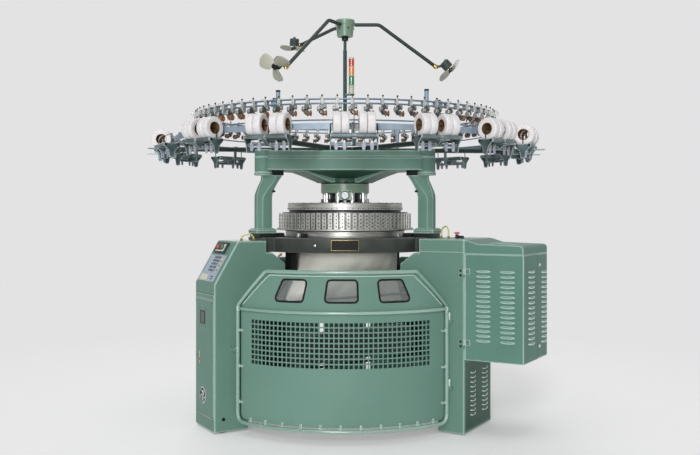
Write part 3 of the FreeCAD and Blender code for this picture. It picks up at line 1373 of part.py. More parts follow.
def rotor(front, axis):
    """Three-bladed rotor, with its shaft in the motor and its axis along a direction."""
    seat = ROTOR_GAP
    hub = drum(ROTOR_HUB, seat, seat + ROTOR_HUB_LONG, BORE_SIDES)
    shaft = drum(ROTOR_SHAFT, 1.0 - ROTOR_SEAT, seat, BORE_SIDES)
    blade_outline = [(ROTOR_HUB - 6, -14), (ROTOR_RADIUS * 0.5, -BLADE_WIDE / 2),
                     (ROTOR_RADIUS * 0.85, -BLADE_WIDE * 0.42), (ROTOR_RADIUS, 0),
                     (ROTOR_RADIUS * 0.9, BLADE_WIDE * 0.3), (ROTOR_RADIUS * 0.55, BLADE_WIDE * 0.36),
                     (ROTOR_HUB - 6, 14)]
    blade = plate(blade_outline, -BLADE_THICK / 2, BLADE_THICK / 2)
    blade = moved(turned(blade, BLADE_PITCH, Vector(0, 0, 0), OUT), 0, 0, seat + ROTOR_HUB_LONG / 2)
    whole = fused([hub, shaft] + [turned(blade, index * 360.0 / BLADES) for index in range(BLADES)])
    whole.Placement = FreeCAD.Placement(front, FreeCAD.Rotation(UP, axis))
    return whole


# ---------------------------------------------------------------- take-down
def make_takedown():
    """Frame that hangs from the ring gear, with the nip rollers and the cloth roll."""
    half = TAKEDOWN_WIDE / 2
    inner = TAKEDOWN_HALF - TAKEDOWN_SHEET
    sheet = box((inner, TAKEDOWN_HALF), (-half, half), (TAKEDOWN_BOTTOM, TAKEDOWN_TOP))
    slant = [(HANGER_INNER, gear_low()), (HANGER_OUTER, gear_low()), (HANGER_OUTER, HANGER_KNEE),
             (TAKEDOWN_HALF, TAKEDOWN_TOP), (inner, TAKEDOWN_TOP), (HANGER_INNER, HANGER_KNEE)]
    hanger = prism(slant, -HANGER_WIDE / 2, HANGER_WIDE / 2)
    side = fused([sheet, hanger])
    sides = [side, turned(side, 180.0)]
    rods = []
    for across in (-half + 20, half - 20):
        for height in (TAKEDOWN_BOTTOM + 20, TAKEDOWN_TOP - 30):
            start = Vector(-inner, across, height)
            rods.append(bar(TIE_ROD, start, start + OUT * 2 * inner, 8))
    journals = [(-nip_offset(), NIP_HEIGHT), (nip_offset(), NIP_HEIGHT), (0.0, CLOTH_ROLL_HEIGHT)]
    bores = [bore(JOURNAL, Vector(-TAKEDOWN_HALF, y, z), Vector(TAKEDOWN_HALF, y, z)) for y, z in journals]
    frame = fused(sides + rods).cut(bores)
    export("takedown_frame", placed(frame, ROLLER_AZIMUTH))
    for name, place in zip(("nip_roller_a", "nip_roller_b"), journals):
        export(name, placed(roller(NIP_RADIUS, inner - GAP, place), ROLLER_AZIMUTH))
    export("cloth_roll", placed(roller(CLOTH_ROLL, CLOTH_WIDTH / 2, journals[2]), ROLLER_AZIMUTH))


def nip_offset():
    """Half the distance between the nip rollers' axes."""
    return NIP_RADIUS + FABRIC_FLAT / 2 + GAP


def roller(radius, half, place):
    """Roller with journals that run in the side plates."""
    y, z = place
    end = TAKEDOWN_HALF
    body = bar(radius, Vector(-half, y, z), Vector(half, y, z), PULLEY_SIDES)
    return fused([body, bar(JOURNAL, Vector(-end, y, z), Vector(end, y, z), BORE_SIDES)])


def make_fabric():
    """Knitted tube: round under the cylinder, spread flat with long folds above the rollers."""
    sections = [fabric_section(height, FABRIC_RADIUS, FABRIC_RADIUS, 0.0)
                for height in (FABRIC_TOP, FABRIC_NECK)]
    for share in (0.35, 0.7, 1.0):
        height = FABRIC_NECK + (FABRIC_THROAT - FABRIC_NECK) * share
        wide = FABRIC_RADIUS + (FABRIC_HALF - FABRIC_RADIUS) * share
        deep = FABRIC_RADIUS + (FABRIC_CLOSING - FABRIC_RADIUS) * share ** 1.3
        sections.append(fabric_section(height, wide, deep, FABRIC_FOLD_DEEP if share < 1.0 else 0.0))
    sections.append(fabric_section(FABRIC_BOTTOM, FABRIC_HALF, FABRIC_FLAT, 0.0))
    faces = [closed_face(sections[0]), closed_face(sections[-1])]
    for upper, lower in zip(sections, sections[1:]):
        for index in range(len(upper)):
            after = (index + 1) % len(upper)
            faces.append(closed_face([upper[index], upper[after], lower[after]]))
            faces.append(closed_face([upper[index], lower[after], lower[index]]))
    export("fabric_tube", placed(Part.makeSolid(Part.makeShell(faces)), ROLLER_AZIMUTH))


def fabric_section(height, wide, deep, fold):
    """Corners of the fabric's section: an ellipse whose outline dips in at the folds."""
    corners = []
    count = 4 * FABRIC_FOLDS
    for index in range(count):
        turn = math.tau * index / count
        dip = fold * (index % 2)
        corners.append(Vector((wide - dip) * math.cos(turn), (deep - dip) * math.sin(turn), height))
    return corners


def main():
    """Build every node."""
    os.makedirs("parts", exist_ok=True)
    make_legs()
    make_console()
    make_end_cover()
    make_bed()
    make_gear_train()
    make_motor()
    make_cylinder()
    make_cams()
    make_dial()
    make_hub()
    make_uprights()
    make_crown()
    make_front_gate()
    make_catch()
    make_rear_gates()
    make_cabinet()
    make_fixed_hinges()
    make_feeders()
    make_arms()
    make_units()
    make_mast()
    make_fan_head()
    make_takedown()
    make_fabric()


main()
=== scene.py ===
"""Looks of the circular double-jersey knitting machine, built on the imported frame.

Sizes are millimetres in the frame of the CAD source and turn into metres where a mesh is made.
Azimuths are degrees round the machine's axis: 0 is the front (-Y), +90 the right-hand side (+X).
Pieces that stand round the axis are drawn along +X and turned to their azimuth.
"""

import math

import bmesh
import bpy
from mathutils import Matrix, Vector
from mathutils.geometry import delaunay_2d_cdt


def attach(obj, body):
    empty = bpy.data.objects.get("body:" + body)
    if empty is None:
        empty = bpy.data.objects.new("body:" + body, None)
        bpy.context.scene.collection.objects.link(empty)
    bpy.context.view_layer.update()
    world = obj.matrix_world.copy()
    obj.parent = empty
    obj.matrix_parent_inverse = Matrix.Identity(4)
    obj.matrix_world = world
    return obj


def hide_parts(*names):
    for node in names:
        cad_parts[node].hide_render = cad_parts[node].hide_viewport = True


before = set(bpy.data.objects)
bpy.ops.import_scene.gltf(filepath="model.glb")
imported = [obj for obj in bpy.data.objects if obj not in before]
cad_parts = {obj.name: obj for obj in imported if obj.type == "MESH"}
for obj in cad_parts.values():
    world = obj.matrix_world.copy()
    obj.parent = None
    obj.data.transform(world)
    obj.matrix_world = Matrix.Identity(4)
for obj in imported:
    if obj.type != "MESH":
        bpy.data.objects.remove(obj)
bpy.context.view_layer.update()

MM = 0.001
# Width of the lightened edges in the materials: partly edge wear, partly a painted highlight.
WEAR_AND_HIGHLIGHT_WIDTH = 0.012
UP = Vector((0.0, 0.0, 1.0))
ROOT = "machine_frame"

# ---------------------------------------------------------------- sizes repeated from the source
GAP = 0.3
CONTROL, DRIVE, REAR = -60.0, 60.0, 180.0
LEG_TOP, DRIVE_TOP, LEG_BOTTOM = 1346.0, 1362.0, 10.0
LEG_WIDTH, CONTROL_REACH, REAR_REACH = 369.0, 1157.0, 1130.0
DRIVE_WIDTH, DRIVE_REACH = 515.0, 1102.0
CONSOLE_RUN, CONSOLE_RISE = 178.0, 301.0
BED_RADIUS, BED_BOTTOM, BED_TOP, BED_EAR, EAR_HALF = 690.0, 1262.0, 1367.0, 756.0, 140.0
CAM_BOTTOM, CAM_HEIGHT, CAM_OUTER = 1427.0, 117.0, 512.0
DIAL_CAM_BOTTOM, DIAL_CAM_HEIGHT, DIAL_CAM_OUTER = 1566.0, 53.0, 447.0
HUB_RADIUS, HUB_BOTTOM, HUB_TOP = 187.0, 1697.0, 1769.0
CROWN_BOTTOM, CROWN_TOP, CROWN_CORNER, CROWN_HALF = 1861.0, 2008.0, 697.0, 71.0
GATE_RADIUS, GATE_TUBE, GATE_LEFT, GATE_RIGHT, GATE_SHOULDER = 1030.0, 13.0, 46.7, 43.5, 15.2
GATE_BOTTOM, GATE_MIDDLE, GATE_TOP, SHEET_RADIUS = 90.0, 879.0, 1150.0, 1013.0
WINDOW_LOW, WINDOW_HIGH = 945.0, 1101.0
CABINET_END, CABINET_BOTTOM, CABINET_TOP = 1528.0, 528.0, 1262.0
FEEDS, FEEDER_RADIUS, RAIL_HIGH, RAIL_DEEP = 72, 1130.0, 9.0, 26.0
FEEDER_LOWER, FEEDER_UPPER, FEEDER_PHASE = 2264.0, 2293.0, 2.5
SPOOL_RING, SPOOL_RING_LOW, SPOOL_RING_TOP = 1305.0, 2078.0, 2118.0
UNITS, UNIT_PHASE, UNIT_RADIUS, UNIT_HALF, UNIT_REACH = 16, 2.3, 1400.0, 150.0, 1535.0
LADEN = (-4, -2, -1, 0, 1, 2, 3)
SPOOL_HEIGHT, SPOOL_RADIUS, SPOOL_BORE = 2105.0, 75.0, 37.5
SPOOL_START, SPOOL_WIDTH = 30.0, 52.0
ROLLER_SPREAD, ROLLER_DROP, ROLLER_RADIUS = 44.65, 77.3, 14.0
ARMS, ARM_PHASE, ARM_TOP = 6, 35.0, 2051.0
TALL_POSTS = ((DRIVE, 697.0, 2014.0), (CONTROL, 577.0, 2008.0))
NIP_HEIGHT, NIP_OFFSET, CLOTH_HEIGHT, TAKEDOWN = 800.0, 36.3, 520.0, -50.0
ROLLER_END = 690.0
FABRIC_RADIUS, FABRIC_HALF, FABRIC_THICK = 405.2, 610.0, 6.0
FABRIC_STRAIGHT, FABRIC_DROP = 1240.0, 400.0
UPRIGHT_FOOT, UPRIGHT_TOP, UPRIGHT_HALF = 1429.0, 1824.0, 55.0
# each fan's azimuth, its arm's elbow and end as (radius, height), its motor and the motor's axis
FANS = {
    "right": (90.0, (265.0, 3010.0), (709.0, 2682.0), (787.0, 0.0, 2698.0), (0.68, 0.0, -0.73)),
    "front": (-30.0, (245.0, 3003.0), (826.0, 2567.0), (-468.0, -700.0, 2600.0), (-0.36, -0.72, -0.6)),
    "rear": (-150.0, (200.0, 3010.0), (767.0, 2975.0), (-432.0, 668.0, 3000.0), (-0.08, 0.16, -0.98)),
}


# ---------------------------------------------------------------- shapes: (corners, faces)
def join(shapes):
    """One shape of several."""
    verts, faces = [], []
    for corners, loops in shapes:
        base = len(verts)
        verts += corners
        faces += [tuple(index + base for index in loop) for loop in loops]
    return verts, faces


def whole(shape):
    """The shape itself, or the shapes of a list as one."""
    return join(shape) if isinstance(shape, list) else shape


def by(matrix, shape):
    """Shape, or list of shapes, put through a matrix."""
    corners, faces = whole(shape)
    return [matrix @ corner for corner in corners], faces


def moved(shape, x=0.0, y=0.0, z=0.0):
    return by(Matrix.Translation((x, y, z)), shape)


def turned(shape, angle, axis="Z", centre=(0.0, 0.0, 0.0)):
    there = Matrix.Translation(centre)
    return by(there @ Matrix.Rotation(math.radians(angle), 4, axis) @ there.inverted(), shape)


def placed(shape, azimuth):
    """Shape drawn along +X, turned to an azimuth."""
    return turned(shape, azimuth - 90.0)


def around(shape, count, phase=0.0):
    return join(placed(shape, phase + 360.0 * index / count) for index in range(count))


def pointed(shape, start, direction):
    """Shape drawn up from the origin, stood at a point along a direction."""
    turn = UP.rotation_difference(Vector(direction).normalized()).to_matrix().to_4x4()
    return by(Matrix.Translation(start) @ turn, shape)


def point(azimuth, radius, height):
    turn = math.radians(azimuth)
    return Vector((radius * math.sin(turn), -radius * math.cos(turn), height))


def rounded(corners, radius, steps=4, closed=True):
    """Path with its corners turned into short curves; one radius, or one for each corner."""
    path = [Vector(corner) for corner in corners]
    count = len(path)
    result = []
    for index, corner in enumerate(path):
        reach = radius[index] if isinstance(radius, (list, tuple)) else radius
        if reach <= 0 or (not closed and index in (0, count - 1)):
            result.append(corner)
            continue
        back = path[index - 1] - corner
        ahead = path[(index + 1) % count] - corner
        half = back.angle(ahead) / 2
        cut = min(reach / max(math.tan(half), 0.05), back.length * 0.49, ahead.length * 0.49)
        start = corner + back.normalized() * cut
        end = corner + ahead.normalized() * cut
        for step in range(steps + 1):
            t = step / steps
            result.append(start * (1 - t) ** 2 + corner * (2 * t * (1 - t)) + end * t ** 2)
    return result


def rectangle(x, y, width, length, radius=0.0, steps=3):
    w, h = width / 2, length / 2
    corners = [(x - w, y - h), (x + w, y - h), (x + w, y + h), (x - w, y + h)]
    return rounded(corners, radius, steps) if radius else [Vector(corner) for corner in corners]


def circle(radius, count, x=0.0, y=0.0):
    turns = [math.tau * index / count for index in range(count)]
    return [Vector((x + radius * math.cos(turn), y + radius * math.sin(turn))) for turn in turns]


LIFTS = {
    "XY": lambda a, b, depth: Vector((a, b, depth)),
    "XZ": lambda a, b, depth: Vector((a, depth, b)),
    "YZ": lambda a, b, depth: Vector((depth, a, b)),
}


def extrude(outline, low, high, plane="XY"):
    """Closed prism on an outline in a plane."""
    lift = LIFTS[plane]
    count = len(outline)
    verts = [lift(a, b, depth) for depth in (low, high) for a, b in outline]
    faces = [tuple(range(count)), tuple(range(count, 2 * count))]
    for index in range(count):
        after = (index + 1) % count
        faces.append((index, after, after + count, index + count))
    return verts, faces


def box(x0, x1, y0, y1, z0, z1):
    return extrude([(x0, y0), (x1, y0), (x1, y1), (x0, y1)], z0, z1)


def skin(rings, capped=True, closed=False):
    """Surface through rings of corners that are equal in number."""
    count = len(rings[0])
    verts = [Vector(corner) for ring in rings for corner in ring]
    faces = []
    pairs = len(rings) if closed else len(rings) - 1
    for level in range(pairs):
        low = level * count
        high = (level + 1) % len(rings) * count
        for index in range(count):
            after = (index + 1) % count
            faces.append((low + index, low + after, high + after, high + index))
    if capped and not closed:
        faces += [tuple(range(count)), tuple(range(len(verts) - count, len(verts)))]
    return verts, faces


def lathe(profile, steps=48, ring=False):
    """Outline of (radius, height) points turned about Z; a ring's outline closes on itself."""
    verts, rows = [], []
    for radius, height in profile:
        if radius < 1e-4:
            rows.append([len(verts)] * steps)
            verts.append(Vector((0.0, 0.0, height)))
            continue
        rows.append(list(range(len(verts), len(verts) + steps)))
        verts += [Vector((corner.x, corner.y, height)) for corner in circle(radius, steps)]
    faces = []
    for low, high in list(zip(rows, rows[1:])) + ([(rows[-1], rows[0])] if ring else []):
        for index in range(steps):
            after = (index + 1) % steps
            loop = tuple(dict.fromkeys((low[index], low[after], high[after], high[index])))
            if len(loop) > 2:
                faces.append(loop)
    return verts, faces


def drum(radius, low, high, edge=1.0, steps=32):
    """Round drum with eased edges."""
    edge = min(edge, radius / 2, (high - low) / 2.1)
    return lathe([(0, low), (radius - edge, low), (radius, low + edge), (radius, high - edge),
                  (radius - edge, high), (0, high)], steps)


def hoop(inner, outer, low, high, edge=1.0, steps=128):
    """Round ring with eased edges."""
    corners = [(inner, low), (outer, low), (outer, high), (inner, high)]
    return lathe([tuple(corner) for corner in rounded(corners, edge, 1)], steps, True)


def spun(section, turns):
    """Closed ring through a section (radius, height) that changes with the turn in degrees."""
    rings = []
    for turn in turns:
        angle = math.radians(turn)
        rings.append([(r * math.cos(angle), r * math.sin(angle), z) for r, z in section(turn)])
    return skin(rings, closed=True)


def sweep(path, radius, sides=10, closed=False, out=None):
    """Round tube along a path; out gives a direction that never runs along the path."""
    points = [Vector(corner) for corner in path]
    count = len(points)
    rings = []
    level = None
    for index, spot in enumerate(points):
        before = points[index - 1] if index or closed else spot
        after = points[(index + 1) % count] if index + 1 < count or closed else spot
        ahead = (after - before).normalized()
        if out is not None:
            level = out(spot)
        elif level is None:
            level = ahead.orthogonal()
        level = (level - ahead * level.dot(ahead)).normalized()
        side = ahead.cross(level)
        wide = radius[index] if isinstance(radius, (list, tuple)) else radius
        rings.append([spot + level * (wide * math.cos(turn)) + side * (wide * math.sin(turn))
                      for turn in (math.tau * step / sides for step in range(sides))])
    return skin(rings, closed=closed)


def rod(radius, start, end, sides=12):
    return sweep([start, end], radius, sides)


def slab(x, y, width, length, low, high, radius=3.0, plane="XY"):
    """Block with rounded corners, extruded across a plane."""
    return extrude(rectangle(x, y, width, length, radius), low, high, plane)


def mirrored(half):
    """Lathe profile of its lower half and the same turned over."""
    return half + [(radius, -height) for radius, height in reversed(half)]


def each_leg(shape):
    return around(shape, 3, CONTROL)


def all_arms(shape):
    return around(shape, ARMS, ARM_PHASE)


def all_feeders(shape):
    return around(shape, FEEDS, FEEDER_PHASE)


def all_units(shape, numbers=range(UNITS)):
    return join(placed(shape, UNIT_PHASE + index * 360.0 / UNITS) for index in numbers)


def screw(radius, high, start, direction):
    """Cheese-head screw with a round recess."""
    head = lathe([(0, 0), (radius, 0), (radius, high * 0.7), (radius * 0.8, high), (radius * 0.35, high),
                  (radius * 0.25, high * 0.5), (0, high * 0.5)], 12)
    return pointed(head, start, direction)


# ---------------------------------------------------------------- materials
def linear(colour):
    """Scene colour of an sRGB colour given as 0 to 255."""
    parts = [part / 255.0 for part in colour]
    return [part / 12.92 if part < 0.04045 else ((part + 0.055) / 1.055) ** 2.4 for part in parts] + [1.0]


def set_input(tree, socket, value):
    if isinstance(value, bpy.types.NodeSocket):
        tree.links.new(value, socket)
    else:
        socket.default_value = value


def add(tree, kind, settings=None, *inputs, **values):
    """New shader node with its settings, and with its inputs set or linked in order or by name."""
    made = tree.nodes.new("ShaderNode" + kind)
    for key, value in (settings or {}).items():
        setattr(made, key, value)
    for socket, value in zip(made.inputs, inputs):
        set_input(tree, socket, value)
    for key, value in values.items():
        set_input(tree, made.inputs[key.replace("_", " ")], value)
    return made


def between(tree, value, low, high, to_low, to_high):
    """Value mapped from one range to another and clamped."""
    return add(tree, "MapRange", None, value, low, high, to_low, to_high).outputs[0]


def mixed(tree, factor, first, second):
    """Colour between two colours."""
    made = add(tree, "Mix", {"data_type": "RGBA"}, factor)
    set_input(tree, made.inputs[6], first)
    set_input(tree, made.inputs[7], second)
    return made.outputs[2]


def finish(name, slot, colour, other, rough=0.4, metal=0.0, patches=3.0, share=0.7, grain=260.0, bump=0.1,
           deep=0.0002, spread=0.08, stretch=(1.0, 1.0, 1.0), wear_and_highlight=None, **sockets):
    """Material with patchy colour, grained roughness and bump, and edges lightened partly as wear and partly
    as painted highlight; the slot argument is not used.
    """
    made = bpy.data.materials.new(name)
    made.use_nodes = True
    tree = made.node_tree
    shader = tree.nodes["Principled BSDF"]
    spot = add(tree, "TexCoord").outputs["Object"]
    place = add(tree, "Mapping", None, Vector=spot, Scale=stretch).outputs[0]
    broad = add(tree, "TexNoise", None, Vector=place, Scale=patches, Detail=5.0).outputs[0]
    fine = add(tree, "TexNoise", None, Vector=place, Scale=grain, Detail=3.0).outputs[0]
    base = mixed(tree, between(tree, broad, 0.35, 0.65, 0.0, share), linear(colour), linear(other))
    # Edges are mixed towards the lighter edge colour: partly edge wear, partly a painted highlight where
    # rounded edges catch the light.
    if wear_and_highlight:
        eased = add(tree, "Bevel", {"samples": 4}, Radius=WEAR_AND_HIGHLIGHT_WIDTH).outputs[0]
        plain = add(tree, "NewGeometry").outputs["Normal"]
        same = add(tree, "VectorMath", {"operation": "DOT_PRODUCT"}, eased, plain)
        edge = between(tree, same.outputs["Value"], 0.995, 0.95, 0.0, 0.85)
        base = mixed(tree, edge, base, linear(wear_and_highlight))
    tree.links.new(base, shader.inputs["Base Color"])
    tree.links.new(between(tree, fine, 0.3, 0.7, rough - spread, rough + spread), shader.inputs["Roughness"])
    shader.inputs["Metallic"].default_value = metal
    if bump:
        relief = add(tree, "Bump", None, Strength=bump, Distance=deep, Height=fine)
        tree.links.new(relief.outputs[0], shader.inputs["Normal"])
    for key, value in sockets.items():
        shader.inputs[key.replace("_", " ")].default_value = value
    return made


def moulding(name, slot, colour, other, rough=0.42, patches=30.0, grain=900.0):
    """Plain moulding or film with a fine grain."""
    return finish(name, slot, colour, other, rough, patches=patches, grain=grain)


# The edge colours given with the enamels and metals below are partly wear and partly painted highlight.
PAINT = finish("green_enamel", "body_paint", (106, 139, 127), (97, 131, 118), 0.36, patches=2.2,
               grain=180.0, bump=0.2, deep=0.0003, wear_and_highlight=(196, 218, 208), Specular_IOR_Level=0.06)
SHEET = finish("sheet_enamel", "body_paint", (110, 144, 132), (100, 135, 122), 0.36, patches=1.6,
               grain=180.0, bump=0.2, deep=0.0003, Specular_IOR_Level=0.1)
FRAME = finish("unit_grey", "dark_paint", (92, 108, 110), (58, 74, 76), 0.42, 0.3, patches=12.0, share=1.0,
               wear_and_highlight=(176, 190, 190), Specular_IOR_Level=0.3)
MAST = finish("mast_enamel", "dark_paint", (36, 64, 60), (28, 52, 50), 0.34, patches=10.0,
              wear_and_highlight=(84, 112, 108), Specular_IOR_Level=0.15)
TUBE = finish("tube_enamel", "body_paint", (104, 146, 130), (94, 136, 118), 0.22, patches=5.0,
              wear_and_highlight=(214, 232, 224), Coat_Weight=0.5, Coat_Roughness=0.16)
# Darker copy of the green enamel: painted shade for faces that lie in shade, such as the drive leg's end and
# the crown's underside.
SHADED_GREEN = finish("shaded_green_enamel", "dark_paint", (54, 92, 76), (44, 80, 64), 0.34, patches=5.0,
              wear_and_highlight=(104, 140, 122), Specular_IOR_Level=0.12)
# Light greens of the louvres' lips: a painted highlight where their lower edges catch the light; the lighter
# one is for the end faces, which get less light.
LIP_HIGHLIGHT = finish("lip_highlight_enamel", "cabinet_paint", (176, 206, 194), (146, 182, 168), 0.3, patches=30.0)
END_LIP_HIGHLIGHT = finish("end_lip_highlight_enamel", "cabinet_paint", (236, 244, 240), (206, 226, 218), 0.3, patches=30.0)
SHADE = finish("dark_green_metal", "dark_paint", (40, 54, 52), (28, 40, 40), 0.42, patches=8.0,
               wear_and_highlight=(96, 110, 105), Specular_IOR_Level=0.15)
CABINET = finish("cabinet_enamel", "cabinet_paint", (98, 134, 123), (89, 126, 114), 0.36, patches=2.6,
                 grain=180.0, bump=0.2, deep=0.0003, wear_and_highlight=(196, 218, 208), Specular_IOR_Level=0.06)
CAST = finish("black_cast_iron", "cast_bed", (62, 67, 62), (50, 54, 50), 0.42, patches=12.0, grain=420.0,
              bump=0.35, deep=0.0004, wear_and_highlight=(104, 107, 104), Specular_IOR_Level=0.25)
BLACK = finish("black_metal", "dark_steel", (24, 25, 26), (34, 35, 36), 0.4, patches=20.0, bump=0.2,
               Specular_IOR_Level=0.25)
STEEL = finish("turned_steel", "steel", (188, 188, 182), (140, 140, 136), 0.42, 0.75, patches=7.0,
               share=1.0, grain=6.0, bump=0.03, stretch=(1.0, 1.0, 30.0))
SATIN = finish("satin_steel", "steel", (176, 178, 174), (130, 132, 128), 0.46, 0.7, patches=14.0,
               grain=500.0)
DARK_STEEL = finish("oiled_steel", "dark_steel", (92, 94, 92), (64, 66, 65), 0.36, 0.8, patches=16.0,
                    grain=500.0)
CHROME = finish("polished_chrome", "chrome", (206, 209, 210), (176, 180, 182), 0.24, 0.9, patches=20.0,
                spread=0.05, bump=0.0)
BRASS = finish("worn_brass", "chrome", (196, 162, 84), (150, 120, 60), 0.34, 0.8, patches=30.0)
COPPER = finish("brown_wheel", "insert_plastic", (142, 98, 62), (84, 58, 40), 0.46, 0.2, patches=60.0)
RAIL = finish("blue_rail_enamel", "ring_paint", (44, 78, 100), (30, 56, 78), 0.34, 0.0, patches=9.0,
              wear_and_highlight=(120, 150, 172))
POST = finish("pale_blue_steel", "ring_paint", (146, 162, 176), (116, 134, 150), 0.5, 0.2, patches=10.0)
CREAM = moulding("cream_moulding", "insert_plastic", (196, 198, 192), (140, 146, 146), 0.42, 30.0, 500.0)
LAVENDER = moulding("lavender_moulding", "insert_plastic", (160, 166, 180), (128, 134, 150), 0.42, 30.0,
                    500.0)
YARN = finish("spandex_yarn", "spool_yarn", (222, 220, 221), (208, 205, 206), 0.62, patches=24.0,
              grain=1500.0, bump=0.3, deep=0.0003, Sheen_Weight=0.3, Sheen_Roughness=0.5)
CARD = finish("cardboard_core", "cloth", (166, 134, 92), (140, 108, 70), 0.8, patches=40.0, grain=900.0,
              bump=0.3)
BROWN = moulding("inner_core_card", "cloth", (112, 84, 50), (84, 60, 34), 0.85, 40.0)
RUBBER = finish("black_rubber", "rubber", (22, 23, 23), (32, 33, 33), 0.62, patches=30.0, grain=700.0,
                bump=0.2, Specular_IOR_Level=0.2)
PLASTIC = moulding("black_moulding", "black_plastic", (26, 27, 29), (36, 37, 39), 0.42, 40.0)
WHITE = moulding("white_moulding", "insert_plastic", (222, 224, 226), (206, 209, 212), 0.4, 30.0)
PANEL = moulding("keypad_film", "panel_plastic", (158, 172, 186), (146, 161, 176), 0.4, 14.0)
YELLOW = moulding("yellow_key", "insert_plastic", (206, 204, 92), (188, 184, 76), patches=60.0)
TEAL = moulding("teal_key", "insert_plastic", (74, 116, 132), (60, 98, 116), patches=60.0)
DARK_KEY = moulding("dark_key", "insert_plastic", (44, 48, 56), (60, 52, 52), patches=60.0)
BEIGE = moulding("display_window", "insert_plastic", (206, 206, 176), (194, 194, 160), 0.25, 30.0)
SMOKE = moulding("smoked_window", "pane", (62, 58, 56), (48, 44, 44), 0.2, 20.0)
RED = moulding("red_button", "stop_red", (204, 62, 48), (182, 48, 38), 0.35, 60.0)
GREEN = moulding("green_button", "start_green", (38, 128, 84), (28, 108, 68), 0.35, 60.0)
HOSE = moulding("yellow_hose", "insert_plastic", (206, 202, 120), (186, 180, 96), 0.34, 30.0, 600.0)
FAN = moulding("fan_blade", "fan_grey", (178, 178, 162), (160, 160, 144), 0.42, 16.0, 600.0)
HEAD = finish("grey_green_enamel", "head_green", (112, 140, 118), (98, 126, 105), 0.36, patches=6.0,
              wear_and_highlight=(150, 174, 154))
LAMP_GREY = moulding("lamp_housing", "lamp_grey", (188, 184, 168), (172, 168, 150), 0.4, 30.0, 600.0)
LENS = {name: finish(name + "_lens", "lens", colour, other, 0.2, patches=30.0, Coat_Weight=0.6)
        for name, colour, other in (("green", (40, 130, 72), (30, 112, 60)),
                                    ("amber", (226, 134, 48), (208, 116, 38)),
                                    ("red", (196, 52, 52), (176, 40, 42)))}
CLOTH = finish("rolled_knit", "cloth", (58, 61, 60), (46, 49, 48), 0.85, patches=12.0, grain=1400.0,
               bump=0.5, deep=0.0005, Sheen_Weight=0.3)


def knit_material():
    """Off-white double jersey: fine wales down the tube over soft creases of tone."""
    made = finish("knitted_tube", "knit", (240, 238, 228), (222, 221, 210), 0.85, patches=5.0, grain=1200.0,
                  bump=0.0, stretch=(1.0, 1.0, 0.12), Sheen_Weight=0.3, Sheen_Roughness=0.5)
    tree = made.node_tree
    place = add(tree, "TexCoord").outputs["Object"]
    wales = add(tree, "TexWave", {"bands_direction": "X"}, Vector=place, Scale=120.0, Distortion=1.0)
    courses = add(tree, "TexWave", {"bands_direction": "Z"}, Vector=place, Scale=160.0, Distortion=1.0)
    both = add(tree, "Math", {"operation": "MULTIPLY"}, wales.outputs[1], courses.outputs[1])
    relief = add(tree, "Bump", None, Strength=0.35, Distance=0.0006, Height=both.outputs[0])
    tree.links.new(relief.outputs[0], tree.nodes["Principled BSDF"].inputs["Normal"])
    return made


KNIT = knit_material()
# The panes' pale tint is painted light: its haze brightens the shaded fabric seen through the windows.
GLASS = finish("clear_window", "pane", (206, 212, 210), (190, 198, 196), 0.06, patches=6.0, spread=0.03,
               bump=0.0, Alpha=0.12)

# Finish of each CAD node that keeps its own shape; the hidden ones under a piece get the body paint.
KEPT = {
    "bearing_race": SATIN, "drive_belt": RUBBER, "ring_gear": DARK_STEEL, "takedown_frame": BLACK,
    "fixed_hinges": SHEET, "gate_catch": SHEET, "main_motor": SHADE, "motor_pulley": SATIN,
    "main_shaft": DARK_STEEL,
}


def make(name, shape, material, body=ROOT, replaces=(), edge=0.0, steps=2, smooth=38.0, at=None):
    """Piece of the scene on a body, turned to an azimuth if given one. An edge width bevels its edges."""
    corners, faces = whole(shape) if at is None else placed(shape, at)
    mesh = bpy.data.meshes.new(name)
    mesh.from_pydata([corner * MM for corner in corners], [], faces)
    work = bmesh.new()
    work.from_mesh(mesh)
    bmesh.ops.recalc_face_normals(work, faces=work.faces)
    work.to_mesh(mesh)
    work.free()
    mesh.materials.append(material)
    mesh.shade_smooth()
    piece = bpy.data.objects.new(name, mesh)
    bpy.context.collection.objects.link(piece)
    if edge:
        bevel = piece.modifiers.new("edges", "BEVEL")
        bevel.width = edge * MM
        bevel.segments = steps
        bevel.limit_method = "ANGLE"
        bevel.angle_limit = math.radians(30.0)
        bevel.harden_normals = True
    else:
        mesh.set_sharp_from_angle(angle=math.radians(smooth))
    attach(piece, body)
    if replaces:
        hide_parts(*replaces)
    return piece


# ---------------------------------------------------------------- camera, light and floor
EYE_DISTANCE, EYE_HEIGHT = 7.01, 1.553
SENSOR, LENS_LENGTH, PICTURE = 36.0, 46.29, 700.0
CENTRE_RIGHT, CENTRE_DOWN = 5.0, 15.5
BACKDROP = linear((227, 227, 227))
# direction, strength and angle of each sun
SUNS = {
    "key": ((0.2, 1.0, -0.5), 0.95, 14.0),
    "front": ((0.1, 1.0, -0.09), 1.6, 16.0),
    "top": ((0.1, 0.1, -1.0), 0.7, 40.0),
    "rim": ((0.2, -1.0, -0.5), 0.8, 40.0),
}
ROOM_LIGHT, FLOOR_LIFT, FLOOR_REACH = 0.2, 0.25, 60.0


def set_camera():
    """Camera on the photograph's line of sight."""
    data = bpy.data.cameras.new("view")
    data.sensor_width = SENSOR
    data.lens = LENS_LENGTH
    data.shift_x = CENTRE_RIGHT / PICTURE
    data.shift_y = -CENTRE_DOWN / PICTURE
    camera = bpy.data.objects.new("view", data)
    camera.location = (0.0, -EYE_DISTANCE, EYE_HEIGHT)
    camera.rotation_euler = (math.radians(90.0), 0.0, 0.0)
    bpy.context.collection.objects.link(camera)
    bpy.context.scene.camera = camera
    bpy.context.scene.view_settings.view_transform = "Standard"


